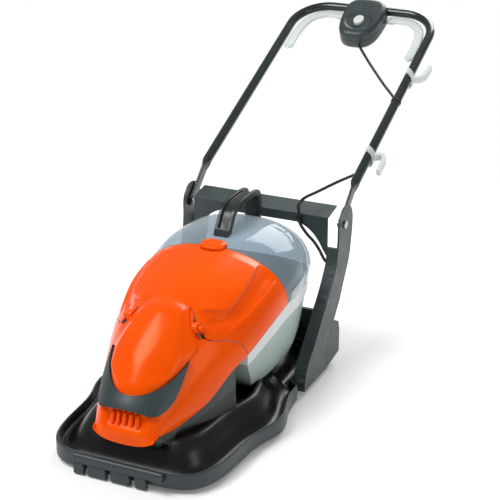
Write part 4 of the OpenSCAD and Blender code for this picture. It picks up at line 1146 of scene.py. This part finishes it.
def boxes():
    """Two rounded halves; the upper one has a dished face with the lock button in its well."""
    a = around(160)
    narrow = lerp(0.8, 1, (1 + spow(np.sin(a), 0.8)) / 2)
    outline = np.column_stack([BOX_HALF[0] * spow(np.cos(a), 0.62) * narrow,
                               BOX_HALF[1] * spow(np.sin(a), 0.7)])
    well = np.array([0.0, WELL_AT])

    def level(p, w):
        return np.column_stack([p, np.full(len(p), w)])

    def dish(p):
        r = np.hypot(p[:, 0] / 37, (p[:, 1] - well[1] + 2) / 33)
        return 2.6 * ease((1 - r) / 0.16)

    for node, sign in (("switch_box_upper", 1), ("switch_box_lower", -1)):
        # The upper half is shorter at its top end
        plan = outline * np.where(outline > 0, (1, 0.94), 1) if sign > 0 else outline
        rings = [level(plan * k, w) for k, w in BOX_ROWS]
        inner = plan * BOX_ROWS[-1][0]
        if sign > 0:
            spoke = unit(inner - well)
            for share in np.linspace(0, 1, 15)[1:]:
                p = lerp(inner, well + 13.6 * spoke * (1, 1.32), share)
                rings.append(np.column_stack([p, BOX_HIGH - dish(p)]))
            rings += [level(well + 13.4 * spoke * (1, 1.32), w) for w in (24, 15, 14.6)]
        else:
            rings += [level(inner * k, BOX_HIGH + 0.2 * (1 - k)) for k in (0.9, 0.6, 0.2)]
        rings = np.array(rings)
        rings[..., 2] *= lerp(0.98, 1.14, rings[..., 1] / BOX_HALF[1]) if sign > 0 else -1
        rings += (0, BOX_AT, 0)
        obj = skin(node + "_visual", on_handle(rings), "grey")
        rounded(obj, 0.0007)
        settle(obj, "upper_handle", "dark_plastic", node)


def lever(node, sign):
    """Flat bar with rounded ends, along the inside of the tube's bend."""
    line = curve([(x * HANDLE_HALF, LEVER_AT + y * LEVER_LENGTH) for x, y in LEVER_SHARES], 10)
    way = unit(np.gradient(line, axis=0))
    out = np.column_stack([way[:, 1], -way[:, 0]])
    run = np.concatenate([[0], np.cumsum(np.linalg.norm(np.diff(line, axis=0), axis=1))])
    turn = around(28)
    rings = []
    for p, o, d in zip(line, out, run):
        tip = min(1.0, (run[-1] - d) / 9, (d + 2.5) / 4)
        wide = 11.5 * math.sqrt(max(1 - (1 - tip) ** 2, 0.03))
        thick = 5 * math.sqrt(max(1 - (1 - tip) ** 2, 0.1))
        x = wide * spow(np.cos(turn), 0.6)
        ring = np.column_stack([p + x[:, None] * o, LEVER_OFF + thick * spow(np.sin(turn), 0.6)])
        rings.append(on_handle(ring * (sign, 1, 1)))
    obj = skin(node + "_visual", rings, "light", sharp=50.0)
    settle(obj, "switch_lever", "light_plastic", node)


class MOWER_OT_upper_handle(bpy.types.Operator):
    """Bent tube with flattened ends, switch box, levers, lock button and cable hooks"""

    bl_idname = "mower.upper_handle"
    bl_label = "Upper handle"

    def execute(self, context):
        tube(context.scene.mower_shape.tube / MM)
        boxes()
        for node, sign in (("right_lever", 1), ("left_lever", -1)):
            lever(node, sign)
        softened("lock_button", "lock", "light_plastic", "light", 0.0025, widen=1.3)
        for node in ("upper_hook", "lower_hook"):
            softened(node, "upper_handle", "light_plastic", "light", 0.0016, widen=1.9, lean=90.0)
        softened("mains_inlet", "upper_handle", "black_plastic", "rubber", 0.002)
        softened("cable_tie", "upper_handle", "black_plastic", "rubber", 0.0005)
        softened("lever_bar", "switch_lever", "steel", "zinc", 0.0006)
        painted("light", "microswitch")
        return {"FINISHED"}


class MOWER_OT_motor(bpy.types.Operator):
    """Motor, fan and blade under the covers"""

    bl_idname = "mower.motor"
    bl_label = "Motor and blade"

    def execute(self, context):
        softened("motor_plate", "deck", "dark_plastic", "grey", 0.001)
        softened("motor_can", "deck", "steel", "zinc", 0.0008)
        softened("plate_screws", "deck", "steel", "zinc", 0.0005)
        softened("fan", "rotor", "light_plastic", "light", 0.0006)
        softened("blade", "rotor", "steel", "blade", 0.0005)
        for node in ("blade_bolt", "blade_spacer"):
            softened(node, "rotor", "steel", "zinc", 0.0008)
        painted("zinc", "bearings", "motor_shaft")
        painted("copper", "stator", "armature")
        return {"FINISHED"}


class MOWER_PT_panel(bpy.types.Panel):
    """Lists the steps that build the mower"""

    bl_idname = "MOWER_PT_panel"
    bl_label = "Hover Mower"
    bl_space_type = "VIEW_3D"
    bl_region_type = "UI"
    bl_category = "Mower"

    def draw(self, context):
        for step in STEPS:
            self.layout.operator(step.bl_idname)


STEPS = (MOWER_OT_stage, MOWER_OT_cables, MOWER_OT_covers, MOWER_OT_hood, MOWER_OT_lid,
         MOWER_OT_grass_box, MOWER_OT_lower_handle, MOWER_OT_upper_handle, MOWER_OT_motor)
CLASSES = (MowerShape, MowerFinish) + STEPS + (MOWER_PT_panel,)


def register():
    for cls in CLASSES:
        bpy.utils.register_class(cls)
    bpy.types.Scene.mower_shape = bpy.props.PointerProperty(type=MowerShape)
    bpy.types.Scene.mower_finish = bpy.props.PointerProperty(type=MowerFinish)


def unregister():
    del bpy.types.Scene.mower_finish
    del bpy.types.Scene.mower_shape
    for cls in reversed(CLASSES):
        bpy.utils.unregister_class(cls)


def main():
    FRAME.update(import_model())
    # The hood's front edge gives the shift from the CAD model's millimetres to the row frame
    FRAME["shift"] = HOOD_Y - HOOD_HALF[1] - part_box("hood")[0][1] / MM
    register()
    bpy.ops.mower.stage()
    bpy.ops.mower.cables()
    bpy.ops.mower.covers()
    bpy.ops.mower.hood()
    bpy.ops.mower.lid()
    bpy.ops.mower.grass_box()
    bpy.ops.mower.lower_handle()
    bpy.ops.mower.upper_handle()
    bpy.ops.mower.motor()


if __name__ == "__main__":
    main()
